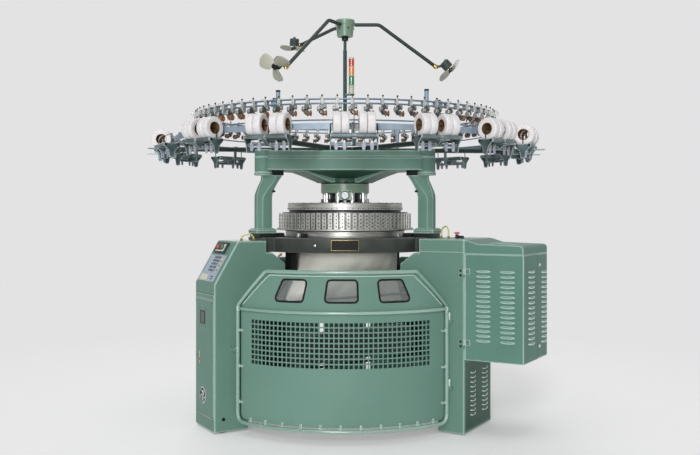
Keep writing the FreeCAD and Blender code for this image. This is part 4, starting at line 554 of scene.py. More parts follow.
def set_suns():
    """Soft suns from the front, from above and from behind."""
    for name, (direction, strength, width) in SUNS.items():
        light = bpy.data.lights.new(name, "SUN")
        light.energy = strength
        light.angle = math.radians(width)
        lamp = bpy.data.objects.new(name, light)
        lamp.rotation_euler = (-UP).rotation_difference(Vector(direction)).to_euler()
        bpy.context.collection.objects.link(lamp)


def seen(tree):
    """1 for what the camera sees, straight on, mirrored or through glass, and 0 for lighting rays."""
    rays = add(tree, "LightPath").outputs
    sharp = add(tree, "Math", {"operation": "MAXIMUM"}, rays["Is Camera Ray"], rays["Is Glossy Ray"])
    both = add(tree, "Math", {"operation": "MAXIMUM"}, sharp.outputs[0], rays["Is Transmission Ray"])
    return both.outputs[0]


def set_world():
    """Backdrop colour for what is seen, and soft white light for the rest."""
    world = bpy.data.worlds.new("studio")
    bpy.context.scene.world = world
    world.use_nodes = True
    tree = world.node_tree
    tree.nodes.clear()
    pale = add(tree, "Background", None, BACKDROP, 1.0)
    soft = add(tree, "Background", None, (1.0, 1.0, 1.0, 1.0), ROOM_LIGHT)
    both = add(tree, "MixShader", None, seen(tree), soft.outputs[0], pale.outputs[0])
    add(tree, "OutputWorld", None, both.outputs[0])


def make_floor():
    """Pale floor that takes the shadow near the machine and melts into the backdrop further out."""
    mesh = bpy.data.meshes.new("floor")
    far = FLOOR_REACH
    mesh.from_pydata([(-far, -far, 0), (far, -far, 0), (far, far, 0), (-far, far, 0)], [], [(0, 1, 2, 3)])
    floor = bpy.data.objects.new("floor", mesh)
    bpy.context.collection.objects.link(floor)
    made = bpy.data.materials.new("pale_floor")
    made.use_nodes = True
    tree = made.node_tree
    tree.nodes.clear()
    clear = seen(tree)
    spot = add(tree, "TexCoord").outputs["Object"]
    away = add(tree, "VectorMath", {"operation": "LENGTH"}, spot).outputs["Value"]
    melt = between(tree, away, 2.4, 5.0, 0.0, 1.0)
    share = add(tree, "Math", {"operation": "MULTIPLY"}, melt, clear)
    bare = add(tree, "BsdfDiffuse", None, (0.87, 0.87, 0.87, 1.0))
    lift = add(tree, "Math", {"operation": "MULTIPLY"}, clear, FLOOR_LIFT)
    raised = add(tree, "Emission", None, BACKDROP, lift.outputs[0])
    lit = add(tree, "AddShader", None, bare.outputs[0], raised.outputs[0])
    glow = add(tree, "Emission", None, BACKDROP, 1.0)
    both = add(tree, "MixShader", None, share.outputs[0], lit.outputs[0], glow.outputs[0])
    add(tree, "OutputMaterial", None, both.outputs[0])
    mesh.materials.append(made)


# ---------------------------------------------------------------- legs
def leg_outline(reach, top, sloping):
    """Side view of a leg as (radius, height) points."""
    shelf = BED_BOTTOM - GAP
    notch = BED_EAR + GAP
    outline = [(reach, LEG_BOTTOM)]
    if sloping:
        outline += [(reach, top - CONSOLE_RISE), (reach - CONSOLE_RUN, top)]
    else:
        outline += [(reach, top)]
    return outline + [(notch, top), (notch, shelf), (714.0, shelf), (606.0, 1182.0), (606.0, 1105.0),
                      (900.0, 820.0), (900.0, LEG_BOTTOM)]


def make_legs():
    for name, azimuth, reach in (("control_leg", CONTROL, CONTROL_REACH), ("rear_leg", REAR, REAR_REACH)):
        housing = extrude(leg_outline(reach, LEG_TOP, True), -LEG_WIDTH / 2, LEG_WIDTH / 2, "XZ")
        make(name + "_housing", housing, PAINT, replaces=[name], edge=9.0, steps=3, at=azimuth)
    half = DRIVE_WIDTH / 2
    housing = extrude(leg_outline(DRIVE_REACH, DRIVE_TOP, False), -half, half, "XZ")
    make("drive_leg_housing", housing, PAINT, replaces=["drive_leg"], edge=8.0, steps=3, at=DRIVE)
    cover = [(758.0, 1268.0), (1101.0, 1268.0), (1101.0, 1363.0), (758.0, 1363.0)]
    make("drive_leg_cap", extrude(cover, -half - 3.0, half + 3.0, "XZ"), PAINT, edge=5.0, at=DRIVE)
    # The lips carry a painted highlight.
    # The louvres take the green in painted shade.
    for name, shape, material in (("louvres", louvre, SHADED_GREEN), ("lips", lip, END_LIP_HIGHLIGHT)):
        columns = [louvres(shape, length, DRIVE_REACH, across, low, 10, 33.0, 0.0, 20.0)
                   for across, length, low in ((-100.0, 85.0, 116.0), (128.0, 100.0, 114.0))]
        make("drive_leg_" + name, columns, material, at=DRIVE)
    # Darker plate over the drive leg's end face: painted shade on the face that gets little light.
    plate = slab(0.0, 268.0, 470.0, 480.0, DRIVE_REACH, DRIVE_REACH + 1.5, 6.0, "YZ")
    make("drive_leg_end_plate", plate, SHADED_GREEN, edge=1.0, at=DRIVE)
    feet = []
    for azimuth, reach in ((CONTROL, CONTROL_REACH), (DRIVE, DRIVE_REACH), (REAR, REAR_REACH)):
        for side in (-110.0, 110.0):
            pad = lathe([(0, 0), (43, 0), (45, 2), (45, 6), (30, 9.6), (14, 9.7), (14, 60), (0, 60)], 32)
            feet.append(placed(moved(pad, reach - 80.0, side), azimuth))
    make("foot_pads", feet, DARK_STEEL, replaces=["levelling_feet"])


def louvre(length, high, rise, stations=9, steps=5):
    """Pressed louvre on the plane x = 0: a scoop that opens downwards, with rounded ends."""
    rings = []
    for index in range(stations):
        t = -1.0 + 2.0 * index / (stations - 1)
        full = max(0.0, 1.0 - abs(t) ** 4) ** 0.5
        low = high * 0.30 * abs(t) ** 3
        ring = []
        for step in range(steps + 1):
            turn = math.pi / 2 * step / steps
            ring.append((rise * full * math.sin(turn) + 0.05, t * length / 2,
                         low + (high - low) * (0.15 + 0.85 * math.cos(turn)) * (0.5 + 0.5 * full)))
        ring.append((0.05, t * length / 2, low + (high - low) * 0.25))
        rings.append(ring)
    return skin(rings)


def lip(length, high, rise):
    """Lower lip of a louvre, curved like a smile, drawn as a tube that carries the painted highlight."""
    path, widths = [], []
    for index in range(11):
        t = -1.0 + 0.2 * index
        full = max(0.0, 1.0 - abs(t) ** 4) ** 0.5
        path.append((rise * full * 0.97 + 0.4, t * length / 2, high * (0.15 + 0.42 * abs(t) ** 3)))
        widths.append(2.6 + 1.5 * abs(t) ** 3)
    return sweep(path, widths, 8, out=lambda spot: Vector((1.0, 0.0, 0.0)))


def louvres(shape, length, x, y, low, rows=15, pitch=35.0, facing=0.0, high=19.0, rise=8.0):
    """Column of louvres, or of their lips, on a face that looks along +X or is turned from it."""
    one = turned(shape(length, high, rise), facing)
    return join(moved(one, x, y, low + row * pitch) for row in range(rows))


def on_console(shape):
    """Shape drawn flat (x across, y up the slope, z outwards), placed on the control console."""
    up = Vector((-CONSOLE_RUN, 0.0, CONSOLE_RISE)).normalized()
    out = Vector((CONSOLE_RISE, 0.0, CONSOLE_RUN)).normalized()
    matrix = Matrix((Vector((0.0, 1.0, 0.0)), up, out)).transposed().to_4x4()
    matrix.translation = (CONTROL_REACH - CONSOLE_RUN / 2, 0.0, LEG_TOP - CONSOLE_RISE / 2)
    return placed(by(matrix, shape), CONTROL)


def make_console():
    across, along = -25.0, 111.0
    frame_ring = skin([[(c.x, c.y, z) for c in rectangle(across, along, w, l, r)] for w, l, r, z in (
        (190.0, 84.0, 6.0, 0.0), (190.0, 84.0, 6.0, 15.0), (186.0, 80.0, 5.0, 18.0),
        (172.0, 66.0, 4.0, 18.0), (166.0, 60.0, 3.0, 10.0))])
    make("switch_frame", on_console(frame_ring), PLASTIC, replaces=["control_plate"])
    make("switch_face", on_console(slab(across, along, 164.0, 58.0, 9.0, 11.5)), WHITE, edge=1.0)
    square = slab(across - 22.0, along + 3.0, 112.0, 46.0, 11.0, 13.5, 2.0)
    make("switch_field", on_console(square), PLASTIC, edge=0.8)
    for name, side, material, body in (("stop", -1, RED, "stop"), ("start", 1, GREEN, "start")):
        cap = lathe([(0, 3.3), (15, 3.3), (15, 23), (13.5, 25.5), (9, 26.6), (0, 27)], 28)
        place = on_console(moved(cap, across + side * 40.0, along))
        make(name + "_cap", place, material, body, [name + "_button"])
    make("keypad_plate", on_console(slab(-17.0, -51.0, 299.0, 213.0, 0.0, 3.0, 6.0)), PANEL, edge=1.0)
    items = {PLASTIC: [], YELLOW: [], TEAL: [], DARK_KEY: [], BEIGE: [], WHITE: []}
    items[PLASTIC].append(slab(-2.0, 34.0, 116.0, 18.0, 2.8, 4.2, 2.0))
    for row in range(3):
        items[YELLOW].append(slab(92.0, 20.0 - row * 34.0, 22.0, 22.0, 2.8, 5.0, 3.0))
        items[DARK_KEY].append(slab(88.0, 4.0 - row * 34.0, 20.0, 7.0, 2.8, 4.2, 1.0))
    for row in range(4):
        for column in range(3):
            kind = TEAL if (row + column) % 2 and row > 0 else DARK_KEY
            spot = (-46.0 + column * 40.0, 8.0 - row * 26.0)
            items[kind].append(slab(spot[0], spot[1], 30.0, 17.0, 2.8, 4.8, 3.0))
    for row in range(10):
        items[DARK_KEY].append(slab(-142.0, 34.0 - row * 13.0, 12.0, 6.0, 2.8, 4.0, 1.0))
        items[WHITE].append(slab(-122.0, 34.0 - row * 13.0, 12.0, 2.5, 2.8, 3.6, 0.8))
    items[BEIGE].append(slab(-70.0, -128.0, 120.0, 44.0, 2.8, 4.6, 3.0))
    items[DARK_KEY].append(slab(70.0, -118.0, 40.0, 12.0, 2.8, 4.2, 2.0))
    items[DARK_KEY].append(slab(70.0, -136.0, 40.0, 8.0, 2.8, 4.2, 2.0))
    make("keypad_window", on_console(items[PLASTIC]), SMOKE, replaces=["console_inserts"], edge=0.5)
    for name, material in (("yellow_keys", YELLOW), ("teal_keys", TEAL), ("dark_keys", DARK_KEY),
                           ("display", BEIGE), ("key_marks", WHITE)):
        make("keypad_" + name, on_console(items[material]), material, edge=0.6)
    make_end_face()


def make_end_face():
    """Fittings of the control leg's outer face: cover, counter, vent, pilot light and screws."""
    face = CONTROL_REACH
    cover = slab(0.0, 514.0, 340.0, 836.0, face - 1.0, face + 2.6, 8.0, "YZ")
    make("control_end_cover", cover, PAINT, replaces=["end_cover"], edge=1.2, at=CONTROL)
    strip = slab(0.0, 953.0, 340.0, 36.0, face - 1.0, face + 1.6, 4.0, "YZ")
    make("control_end_strip", strip, PAINT, edge=1.0, at=CONTROL)
    # Black strips at the edges of the cover and the strip: painted shadow in the gaps.
    seams = [box(face - 0.5, face + 0.4, -172.0, 172.0, z - 2.0, z + 2.0) for z in (933.5, 973.0, 94.5)]
    make("control_end_seams", seams, BLACK, at=CONTROL)
    across, height = -35.0, 800.0
    bezel = skin([[(x, c.x, c.y) for c in rectangle(across, height, w, w, 5.0)] for w, x in (
        (96.0, face + 2.0), (96.0, face + 5.0), (90.0, face + 7.0), (82.0, face + 7.0), (80.0, face + 4.0))])
    make("counter_bezel", bezel, PLASTIC, at=CONTROL)
    glass = slab(across, height, 80.0, 80.0, face + 3.0, face + 4.8, 3.0, "YZ")
    make("counter_window", glass, SMOKE, edge=0.6, at=CONTROL)
    screws = [screw(4.0, 3.0, (face + 2.4, across + dx, height + dz), (1, 0, 0))
              for dx in (-56.0, 56.0) for dz in (-62.0, 62.0)]
    screws += [screw(5.0, 3.2, (face + 2.4, dx, z), (1, 0, 0))
               for dx in (-158.0, 158.0) for z in (112.0, 514.0, 916.0)]
    make("cover_screws", screws, DARK_STEEL, at=CONTROL)
    across, height = -25.0, 242.0
    rim = lathe([(52, 0), (60, 0), (60, 3), (57, 5), (52, 5)], 40, True)
    make("vent_rim", pointed(rim, (face + 2.6, across, height), (1, 0, 0)), CHROME, at=CONTROL)
    # Black disc behind the blades: painted shade of the vent's opening.
    back = lathe([(0, 0), (52, 0), (52, 0.8), (0, 0.8)], 40)
    make("vent_back", pointed(back, (face + 2.4, across, height), (1, 0, 0)), BLACK, at=CONTROL)
    blades = []
    for index in range(5):
        path = []
        for step in range(7):
            t = step / 6
            turn = math.radians(index * 72.0 + 70.0 * t)
            reach = 8.0 + 40.0 * t
            path.append((face + 4.6, across + reach * math.cos(turn), height + reach * math.sin(turn)))
        blades.append(sweep(path, [2.0 + 3.0 * math.sin(math.pi * s / 6) for s in range(7)], 6))
    blades.append(pointed(drum(10.0, 0.0, 3.0, 1.0, 20), (face + 3.0, across, height), (1, 0, 0)))
    make("vent_blades", blades, CHROME, at=CONTROL)
    slot = slab(-98.0, 505.0, 12.0, 92.0, face + 2.4, face + 4.0, 5.0, "YZ")
    make("pilot_strip", slot, LAMP_GREY, edge=0.6, at=CONTROL)
    bead = lathe([(0, 0), (9, 0), (9, 2), (6, 5.5), (0, 7)], 20)
    make("pilot_bead", pointed(bead, (face + 3.4, -98.0, 492.0), (1, 0, 0)), RED, at=CONTROL)
    grommet = lathe([(0, -0.5), (13, -0.5), (13, 1.6), (10, 2.4), (7, 1.0), (0, 0.4)], 24)
    make("cable_grommet", pointed(grommet, (1089.0, LEG_WIDTH / 2, 99.0), (0, 1, 0)), RUBBER, at=CONTROL)


# ---------------------------------------------------------------- bed and knitting head
def bed_reach(turn):
    """Outer radius of the bed at a turn in degrees from +X, with its three ears."""
    for azimuth in (CONTROL, DRIVE, REAR):
        off = math.radians((turn - (azimuth - 90.0) + 180.0) % 360.0 - 180.0)
        if abs(off) < math.radians(30.0):
            ear = min(BED_EAR / math.cos(off), EAR_HALF / max(abs(math.sin(off)), 1e-6))
            return max(BED_RADIUS, ear)
    return BED_RADIUS


def bed_turns():
    """Turns for the bed's ring: even steps and the corners of the ears."""
    turns = {float(step) for step in range(0, 360, 3)}
    corner = math.degrees(math.atan2(EAR_HALF, BED_EAR))
    root = math.degrees(math.asin(EAR_HALF / BED_RADIUS))
    for azimuth in (CONTROL, DRIVE, REAR):
        for off in (-root, -corner - 0.02, -corner + 0.02, corner - 0.02, corner + 0.02, root):
            turns.add((azimuth - 90.0 + off) % 360.0)
    return sorted(turns)


def make_bed():
    edge = 5.0

    def section(turn):
        reach = bed_reach(turn)
        return [(440.0, BED_TOP), (reach - edge, BED_TOP), (reach - edge * 0.3, BED_TOP - edge * 0.3),
                (reach, BED_TOP - edge), (reach, BED_BOTTOM + edge),
                (reach - edge * 0.3, BED_BOTTOM + edge * 0.3), (reach - edge, BED_BOTTOM),
                (560.0, BED_BOTTOM), (560.0, BED_BOTTOM + 18.0), (614.0, BED_BOTTOM + 18.0),
                (614.0, BED_TOP - 18.0), (440.0, BED_TOP - 18.0)]

    make("bed_casting", spun(section, bed_turns()), CAST, replaces=["bed"], smooth=30.0)
    spot = BED_RADIUS - 0.5
    middle = BED_BOTTOM + 55.0
    border = bent_plate(-8.05, 8.05, middle - 36.4, middle + 36.4, spot, 2.5)
    make("name_plate_border", border, BRASS, edge=0.6)
    bare = bent_plate(-7.9, 7.9, middle - 34.5, middle + 34.5, spot + 1.8, 1.6)
    make("bare_plate", bare, RUBBER, edge=0.5)
    out = point(-17.9, 1.0, 0.0)
    knob = lathe([(0, 0), (11, 0), (11, 3), (9, 8), (5, 10.5), (0, 11)], 28)
    make("bed_button", pointed(knob, point(-17.9, BED_RADIUS - 1.0, 1313.0), out), CHROME)
    fitting = join([drum(11.0, 0.0, 12.0, 1.5, 6), moved(drum(7.0, 0.0, 26.0, 1.0, 16), 0, 0, 8.0)])
    make("grease_fitting", pointed(fitting, point(-40.0, 712.0, 1252.0), point(-40.0, 1.0, -0.6)), BRASS)
    # black stops and pale pads on the bed, round the cam ring
    stops = []
    for azimuth, radius, wide in ((-64.0, 560.0, 90.0), (58.0, 575.0, 120.0), (-30.0, 590.0, 20.0)):
        block = box(radius - 34.0, radius + 34.0, -wide / 2, wide / 2, BED_TOP, BED_TOP + 30.0)
        stops.append(placed(block, azimuth))
    make("bed_stops", stops, BLACK, edge=2.0)
    pad = box(556.0, 576.0, -9.0, 9.0, BED_TOP, BED_TOP + 30.0)
    make("bed_pads", [placed(pad, azimuth) for azimuth in (-36.5, 44.0)], CHROME, edge=2.0)


def bent_plate(left, right, low, high, radius, thick, runs=12):
    """Plate bent round the axis between two azimuths."""
    rings = []
    for index in range(runs + 1):
        turn = left + (right - left) * index / runs
        rings.append([point(turn, r, z) for r, z in ((radius, low), (radius + thick, low),
                                                     (radius + thick, high), (radius, high))])
    return skin(rings)


def make_head():
    flange = CAM_BOTTOM - 11.0
    foot = lathe([(437, BED_TOP), (466, BED_TOP), (466, BED_TOP + 4), (462, BED_TOP + 8), (462, flange - 8),
                  (466, flange - 4), (468, flange), (533, flange), (536, flange + 2), (536, CAM_BOTTOM - 2),
                  (533, CAM_BOTTOM), (437, CAM_BOTTOM)], 144, True)
    make("cam_ring_turned", foot, STEEL, replaces=["cam_ring"], smooth=30.0)
    half = math.pi / FEEDS - 2.5 / CAM_OUTER
    tall = CAM_BOTTOM + CAM_HEIGHT
    # Alternate boxes take a darker and a lighter steel: a painted reflection of the light and dark bands that
    # the polished boxes mirror.
    for name, turn, material in (("a", 2.5, SATIN), ("b", 7.5, STEEL)):
        outline = []
        for radius, share in ((440.0, -1.0), (CAM_OUTER - 8.0, -1.0), (CAM_OUTER - 8.0, -0.72),
                              (CAM_OUTER, -0.62), (CAM_OUTER, 0.94), (CAM_OUTER - 3.0, 1.0), (440.0, 1.0)):
            outline.append((radius * math.cos(share * half), radius * math.sin(share * half)))
        body = extrude(outline, CAM_BOTTOM, tall)
        make("cam_boxes_" + name, around(body, FEEDS // 2, turn), material,
             replaces=["cam_boxes"] if name == "a" else (), edge=1.0)
    dots, pips = [], []
    for height in (1446.0, 1471.0, 1498.0, 1523.0):
        dot = lathe([(0, -1), (6, -1), (6, 0.5), (4.6, 0.9), (4.2, 0.2), (0, 0.2)], 10)
        dots.append(pointed(dot, (CAM_OUTER, 4.0, height), (1, 0, 0)))
    for height in (1436.0, 1459.0, 1484.0, 1510.0, 1534.0):
        pips.append(box(CAM_OUTER - 9.0, CAM_OUTER - 4.0, -19.0, -13.0, height - 5.0, height + 3.0))
    make("cam_box_sockets", around(dots, FEEDS, 2.5), PLASTIC)
    make("cam_box_latches", around(pips, FEEDS, 2.5), DARK_STEEL, edge=0.6)
    studs = pointed(lathe([(0, 0), (4.5, 0), (4.5, 3), (3, 4.5), (0, 4.5)], 8), (522.0, 0, CAM_BOTTOM), UP)
    make("flange_bolts", around(studs, FEEDS, 5.0), DARK_STEEL)
    skirt = lathe([(406, 1338.3), (432, 1338.3), (432, 1549), (429, 1552), (408, 1552), (406, 1550)],
                  144, True)
    make("needle_cylinder_turned", skirt, DARK_STEEL, "cylinder", ["needle_cylinder"])
    make("cam_ring_cover", hoop(436.0, 486.0, tall, tall + 9.0, 2.0, 144), DARK_STEEL)
    make_dial_head()


def make_dial_head():
    low, top, outer = DIAL_CAM_BOTTOM, DIAL_CAM_BOTTOM + DIAL_CAM_HEIGHT, DIAL_CAM_OUTER
    band = lathe([(60, top - 26), (377, top - 26), (377, low), (outer - 3, low), (outer, low + 3),
                  (outer, low + 22), (outer - 3, low + 24), (outer - 3, top - 8), (440, top), (430, top),
                  (428, top - 5), (60, top - 5)], 144, True)
    make("dial_cam_ring_turned", band, STEEL, replaces=["dial_cam_ring"], smooth=30.0)
    seat = [(0, -1), (5, -1), (5, 0.4), (4, 0.9), (0, 0.3)]
    spot = (outer, 0.0, low + 13.0)
    dot = pointed(lathe(seat, 10), spot, (1, 0, 0))
    small = pointed(lathe([(r * 0.6, z) for r, z in seat], 8), spot, (1, 0, 0))
    make("dial_cam_sockets", [around(dot, FEEDS, 2.5), around(small, FEEDS, 4.6)], PLASTIC)
    plates = box(385.0, 425.0, -13.0, 13.0, top - 6.0, top + 3.0)
    make("dial_cam_plates", around(plates, 48, 3.75), SATIN, edge=1.5)
    bolts = pointed(drum(5.0, 0.0, 5.0, 1.0, 6), (436.0, 0.0, top - 1.0), UP)
    make("dial_cam_bolts", around(bolts, 36, 5.0), BLACK)
    make("needle_gap", hoop(430.0, 434.0, 1552.5, DIAL_CAM_BOTTOM, 0.5, 144), BLACK)
    dial = join([lathe([(0, 1554.7), (426, 1554.7), (429, 1557), (429, 1565.7), (0, 1565.7)], 144),
                 drum(95.0, 1532.7, 1555.0, 3.0, 64), drum(40.0, 1565.0, 1769.0, 1.0, 48)])
    make("dial_turned", dial, SATIN, "dial_plate", ["dial"])
    make_hub()


def make_hub():
    housing = lathe([(41, HUB_BOTTOM), (180, HUB_BOTTOM), (HUB_RADIUS, HUB_BOTTOM + 5),
                     (HUB_RADIUS, HUB_TOP - 4), (184, HUB_TOP), (152, HUB_TOP), (150, HUB_TOP + 1),
                     (150, 1776.7), (41, 1776.7)], 96, True)
    make("hub_casting", housing, HEAD, replaces=["hub_housing"], smooth=30.0)
    base = DIAL_CAM_BOTTOM + DIAL_CAM_HEIGHT
    pillar = lathe([(0, base), (23, base), (23, base + 5), (17, base + 9), (17, HUB_BOTTOM - 8),
                    (21, HUB_BOTTOM - 5), (21, HUB_BOTTOM), (0, HUB_BOTTOM)], 24)
    make("hub_pillars", around(moved(pillar, 160.0), 9, 20.0), CHROME)
    core = lathe([(60, base), (118, base), (118, HUB_BOTTOM), (60, HUB_BOTTOM)], 64, True)
    make("hub_core", core, BLACK)
    links = box(172.0, 188.0, -12.0, 12.0, base, base + 34.0)
    make("dial_clamps", around(links, 9, 0.0), DARK_STEEL, edge=2.0)
    front = -HUB_RADIUS - 18.0
    block = slab(0.0, HUB_BOTTOM - 15.0, 104.0, 74.0, front, front + 20.0, 6.0, "XZ")
    make("gauge_block", block, HEAD, replaces=["height_gauge"], edge=2.0)
    dial = lathe([(0, 0), (34, 0), (34, 8), (32, 12), (28, 14), (26, 12), (0, 12)], 48)
    centre = Vector((0.0, front, HUB_BOTTOM - 18.0))
    make("gauge_case", pointed(dial, centre, (0, -1, 0)), CHROME)
    face = lathe([(0, 12), (26, 12), (26, 12.6), (0, 12.8)], 40)
    make("gauge_face", pointed(face, centre, (0, -1, 0)), WHITE)
    marks = []
    for index in range(12):
        long = 5.0 if index % 3 == 0 else 3.0
        mark = box(-0.5, 0.5, 20.0, 20.0 + long, 12.5, 13.2)
        marks.append(pointed(turned(mark, index * 30.0), centre, (0, -1, 0)))
    marks.append(pointed(turned(box(-0.8, 0.8, -4.0, 20.0, 12.8, 13.4), 35.0), centre, (0, -1, 0)))
    make("gauge_marks", marks, PLASTIC)
    bolts = [screw(7.0, 5.0, (x, front, HUB_BOTTOM + 12.0), (0, -1, 0)) for x in (-38.0, 38.0)]
    bolts.append(screw(6.0, 5.0, (0.0, front, HUB_BOTTOM - 46.0), (0, -1, 0)))
    make("gauge_bolts", bolts, BLACK)
    stem = [(0, -51), (6, -51), (6, 0), (12, 1), (14, 4), (14, 20), (12, 25), (0, 26)]
    knob = pointed(lathe(stem, 20), Vector((0.0, -258.0, 1786.0)), (0, -1, 0))
    make("adjusting_knob_turned", knob, BLACK, "knob", ["adjusting_knob"])


# ---------------------------------------------------------------- uprights and crown
def upright_section(height):
    """Corners of an upright's section: a chamfer on its outer edges opens out towards the top."""
    share = (height - UPRIGHT_FOOT) / (UPRIGHT_TOP - UPRIGHT_FOOT)
    bend = max(0.0, (share - 0.58) / 0.42)
    inner = 650.0 - 85.0 * bend ** 1.6
    outer = 760.0 - 47.0 * min(1.0, max(0.0, (share - 0.62) / 0.3)) ** 1.2
    cut = 32.0 + 66.0 * max(0.0, (share - 0.56) / 0.44)
    side = 32.0 + 14.0 * max(0.0, (share - 0.56) / 0.44)
    half = UPRIGHT_HALF
    corners = [(inner, -half), (outer - cut, -half), (outer, -half + side), (outer, half - side),
               (outer - cut, half), (inner, half)]
    return [(corner.x, corner.y, height) for corner in rounded(corners, 5.0, 2)]


def make_uprights():
    rings = [upright_section(UPRIGHT_FOOT + (UPRIGHT_TOP - UPRIGHT_FOOT) * step / 22) for step in range(23)]
    make("upright_columns", each_leg(skin(rings)), PAINT, replaces=["uprights"], smooth=24.0)
    foot = []
    for grow, height in ((0.0, 1397.0), (0.0, 1420.0), (-14.0, 1434.0)):
        outline = rectangle(705.0, 0.0, 160.0 + 2 * grow, 160.0 + 2 * grow, 10.0)
        foot.append([(corner.x, corner.y, height) for corner in outline])
    make("upright_feet", each_leg(skin(foot)), PAINT, edge=2.0)
    spacer = slab(700.0, 0.0, 140.0, 168.0, BED_TOP, 1397.0, 6.0)
    make("upright_spacers", each_leg(spacer), BLACK, edge=2.0)
    # Black ovals on the sides stand in for holes: painted shade of their insides.
    holes = []
    for side in (-1, 1):
        hole = lathe([(0, -0.3), (15, -0.3), (15, 0.8), (0, 0.8)], 24)
        hole = by(Matrix.Diagonal((1.0, 0.62, 1.0, 1.0)), hole)
        holes.append(pointed(hole, (640.0, side * UPRIGHT_HALF, 1706.0), (0, side, 0)))
    make("upright_holes", each_leg(holes), BLACK)
    gap = slab(600.0, 0.0, 100.0, 96.0, 1826.0, 1861.0, 10.0)
    make("neck_spacers", each_leg(gap), BLACK, edge=3.0)


def crown_outline(grow):
    outline = []
    for azimuth in (REAR, CONTROL, DRIVE):
        turn = math.radians(azimuth - 90.0)
        for side in (-1, 1):
            across = side * (CROWN_HALF + grow)
            reach = CROWN_CORNER + grow
            outline.append((reach * math.cos(turn) - across * math.sin(turn),
                            reach * math.sin(turn) + across * math.cos(turn)))
    return rounded(outline, 46.0, 5)


def make_crown():
    seam = 1956.0
    make("crown_casting", extrude(crown_outline(0.0), CROWN_BOTTOM, seam - 1.5), PAINT,
         replaces=["crown_plate"], edge=7.0, steps=3)
    make("crown_cover", extrude(crown_outline(-4.0), seam + 1.5, CROWN_TOP), PAINT, edge=9.0, steps=3)
    make("crown_seam", extrude(crown_outline(-7.0), seam - 3.0, seam + 3.0), BLACK)
    boss = lathe([(0, 1824), (66, 1824), (69, 1827), (69, 1842), (65, 1846), (65, 1953), (67, 1955),
                  (67, 1959), (64, 1961), (64, 2010), (60, 2014), (0, 2014)], 56)
    make("crown_bosses", each_leg(moved(boss, CROWN_CORNER)), PAINT, smooth=30.0)
    # Neck and dish under the crown take the green in painted shade.
    neck = lathe([(0, 1777), (183, 1777), (187, 1781), (187, 1861), (0, 1861)], 96)
    make("crown_neck", neck, SHADED_GREEN, smooth=40.0)
    web = [(150, 1777), (187, 1777), (205, 1786), (262, 1806), (330, 1830), (394, 1849), (430, 1861),
           (150, 1861)]
    make("crown_webs", each_leg(extrude(web, -112.0, 112.0, "XZ")), PAINT, edge=8.0, steps=3)
    dish = lathe([(0, 1806), (180, 1806), (300, 1836), (400, 1861), (0, 1861)], 96)
    make("crown_dish", dish, SHADED_GREEN, smooth=50.0)
    make("crown_collar", hoop(146.0, 188.0, 1769.5, 1780.0, 2.0, 96), BLACK)
    bolts = []
    for side in (-1, 1):
        for height in (1890.0, 1948.0):
            start = (622.0, side * 88.0, height)
            bolts.append(pointed(drum(8.0, 0.0, 9.0, 1.5, 12), start, (0.25, side, 0.0)))
    make("crown_bolts", each_leg(bolts), BLACK)


# ---------------------------------------------------------------- gates
def run_of(angle):
    """Run along the gates' circle of an azimuth."""
    return GATE_RADIUS * math.radians(angle)


def on_gate(spot, radius=GATE_RADIUS):
    return point(math.degrees(spot[0] / GATE_RADIUS), radius, spot[1])


def fine(path, step=36.0, closed=True):
    """Path with extra points, so that no run is longer than a step."""
    result = []
    count = len(path)
    for index in range(count if closed else count - 1):
        start, end = Vector(path[index]), Vector(path[(index + 1) % count])
        parts = max(1, math.ceil((end - start).length / step))
        result += [start.lerp(end, part / parts) for part in range(parts)]
    return result if closed else result + [Vector(path[-1])]


def gate_tube(path, radius, closed=False, circle_radius=GATE_RADIUS, sides=14):
    spots = [on_gate(spot, circle_radius) for spot in fine(path, 36.0, closed)]
    return sweep(spots, radius, sides, closed, lambda spot: Vector((spot.x, spot.y, 0.0)).normalized())


def bent(outline, holes, outer, thick, spacing=(40.0, 60.0)):
    """Sheet bent round the axis, cut to an outline and holes that are given as (run, height)."""
    points, edges = [], []
    for loop in [outline] + holes:
        loop = fine(loop, 60.0)
        base = len(points)
        points += loop
        edges += [(base + index, base + (index + 1) % len(loop)) for index in range(len(loop))]
    xs = [corner[0] for corner in outline]
    ys = [corner[1] for corner in outline]
    left, low = min(xs), min(ys)
    for column in range(int((max(xs) - left) / spacing[0])):
        for row in range(int((max(ys) - low) / spacing[1])):
            points.append(Vector((left + (column + 0.53) * spacing[0], low + (row + 0.53) * spacing[1])))
    corners, _, faces, *_ = delaunay_2d_cdt(points, edges, [], 1, 1e-3)
    spans = [(min(c[0] for c in hole), max(c[0] for c in hole), min(c[1] for c in hole),
              max(c[1] for c in hole), hole) for hole in holes]
    faces = [face for face in faces
             if not in_hole(sum((corners[i] for i in face), Vector((0, 0))) / 3, spans)]
    count = len(corners)
    verts = [on_gate(spot, radius) for radius in (outer, outer - thick) for spot in corners]
    loops = [tuple(face) for face in faces]
    loops += [tuple(index + count for index in reversed(face)) for face in faces]
    sides = {pair for face in faces for pair in zip(face, list(face[1:]) + [face[0]])}
    loops += [(b, a, a + count, b + count) for a, b in sides if (b, a) not in sides]
    return verts, loops


def in_hole(spot, spans):
    """Whether a point lies in one of the holes, each given with its limits."""
    for left, right, low, high, hole in spans:
        if left < spot.x < right and low < spot.y < high:
            inside = False
            for start, end in zip(hole, list(hole[1:]) + [hole[0]]):
                if (start[1] > spot.y) != (end[1] > spot.y):
                    cross = start[0] + (end[0] - start[0]) * (spot.y - start[1]) / (end[1] - start[1])
                    inside ^= spot.x < cross
            if inside:
                return True
    return False


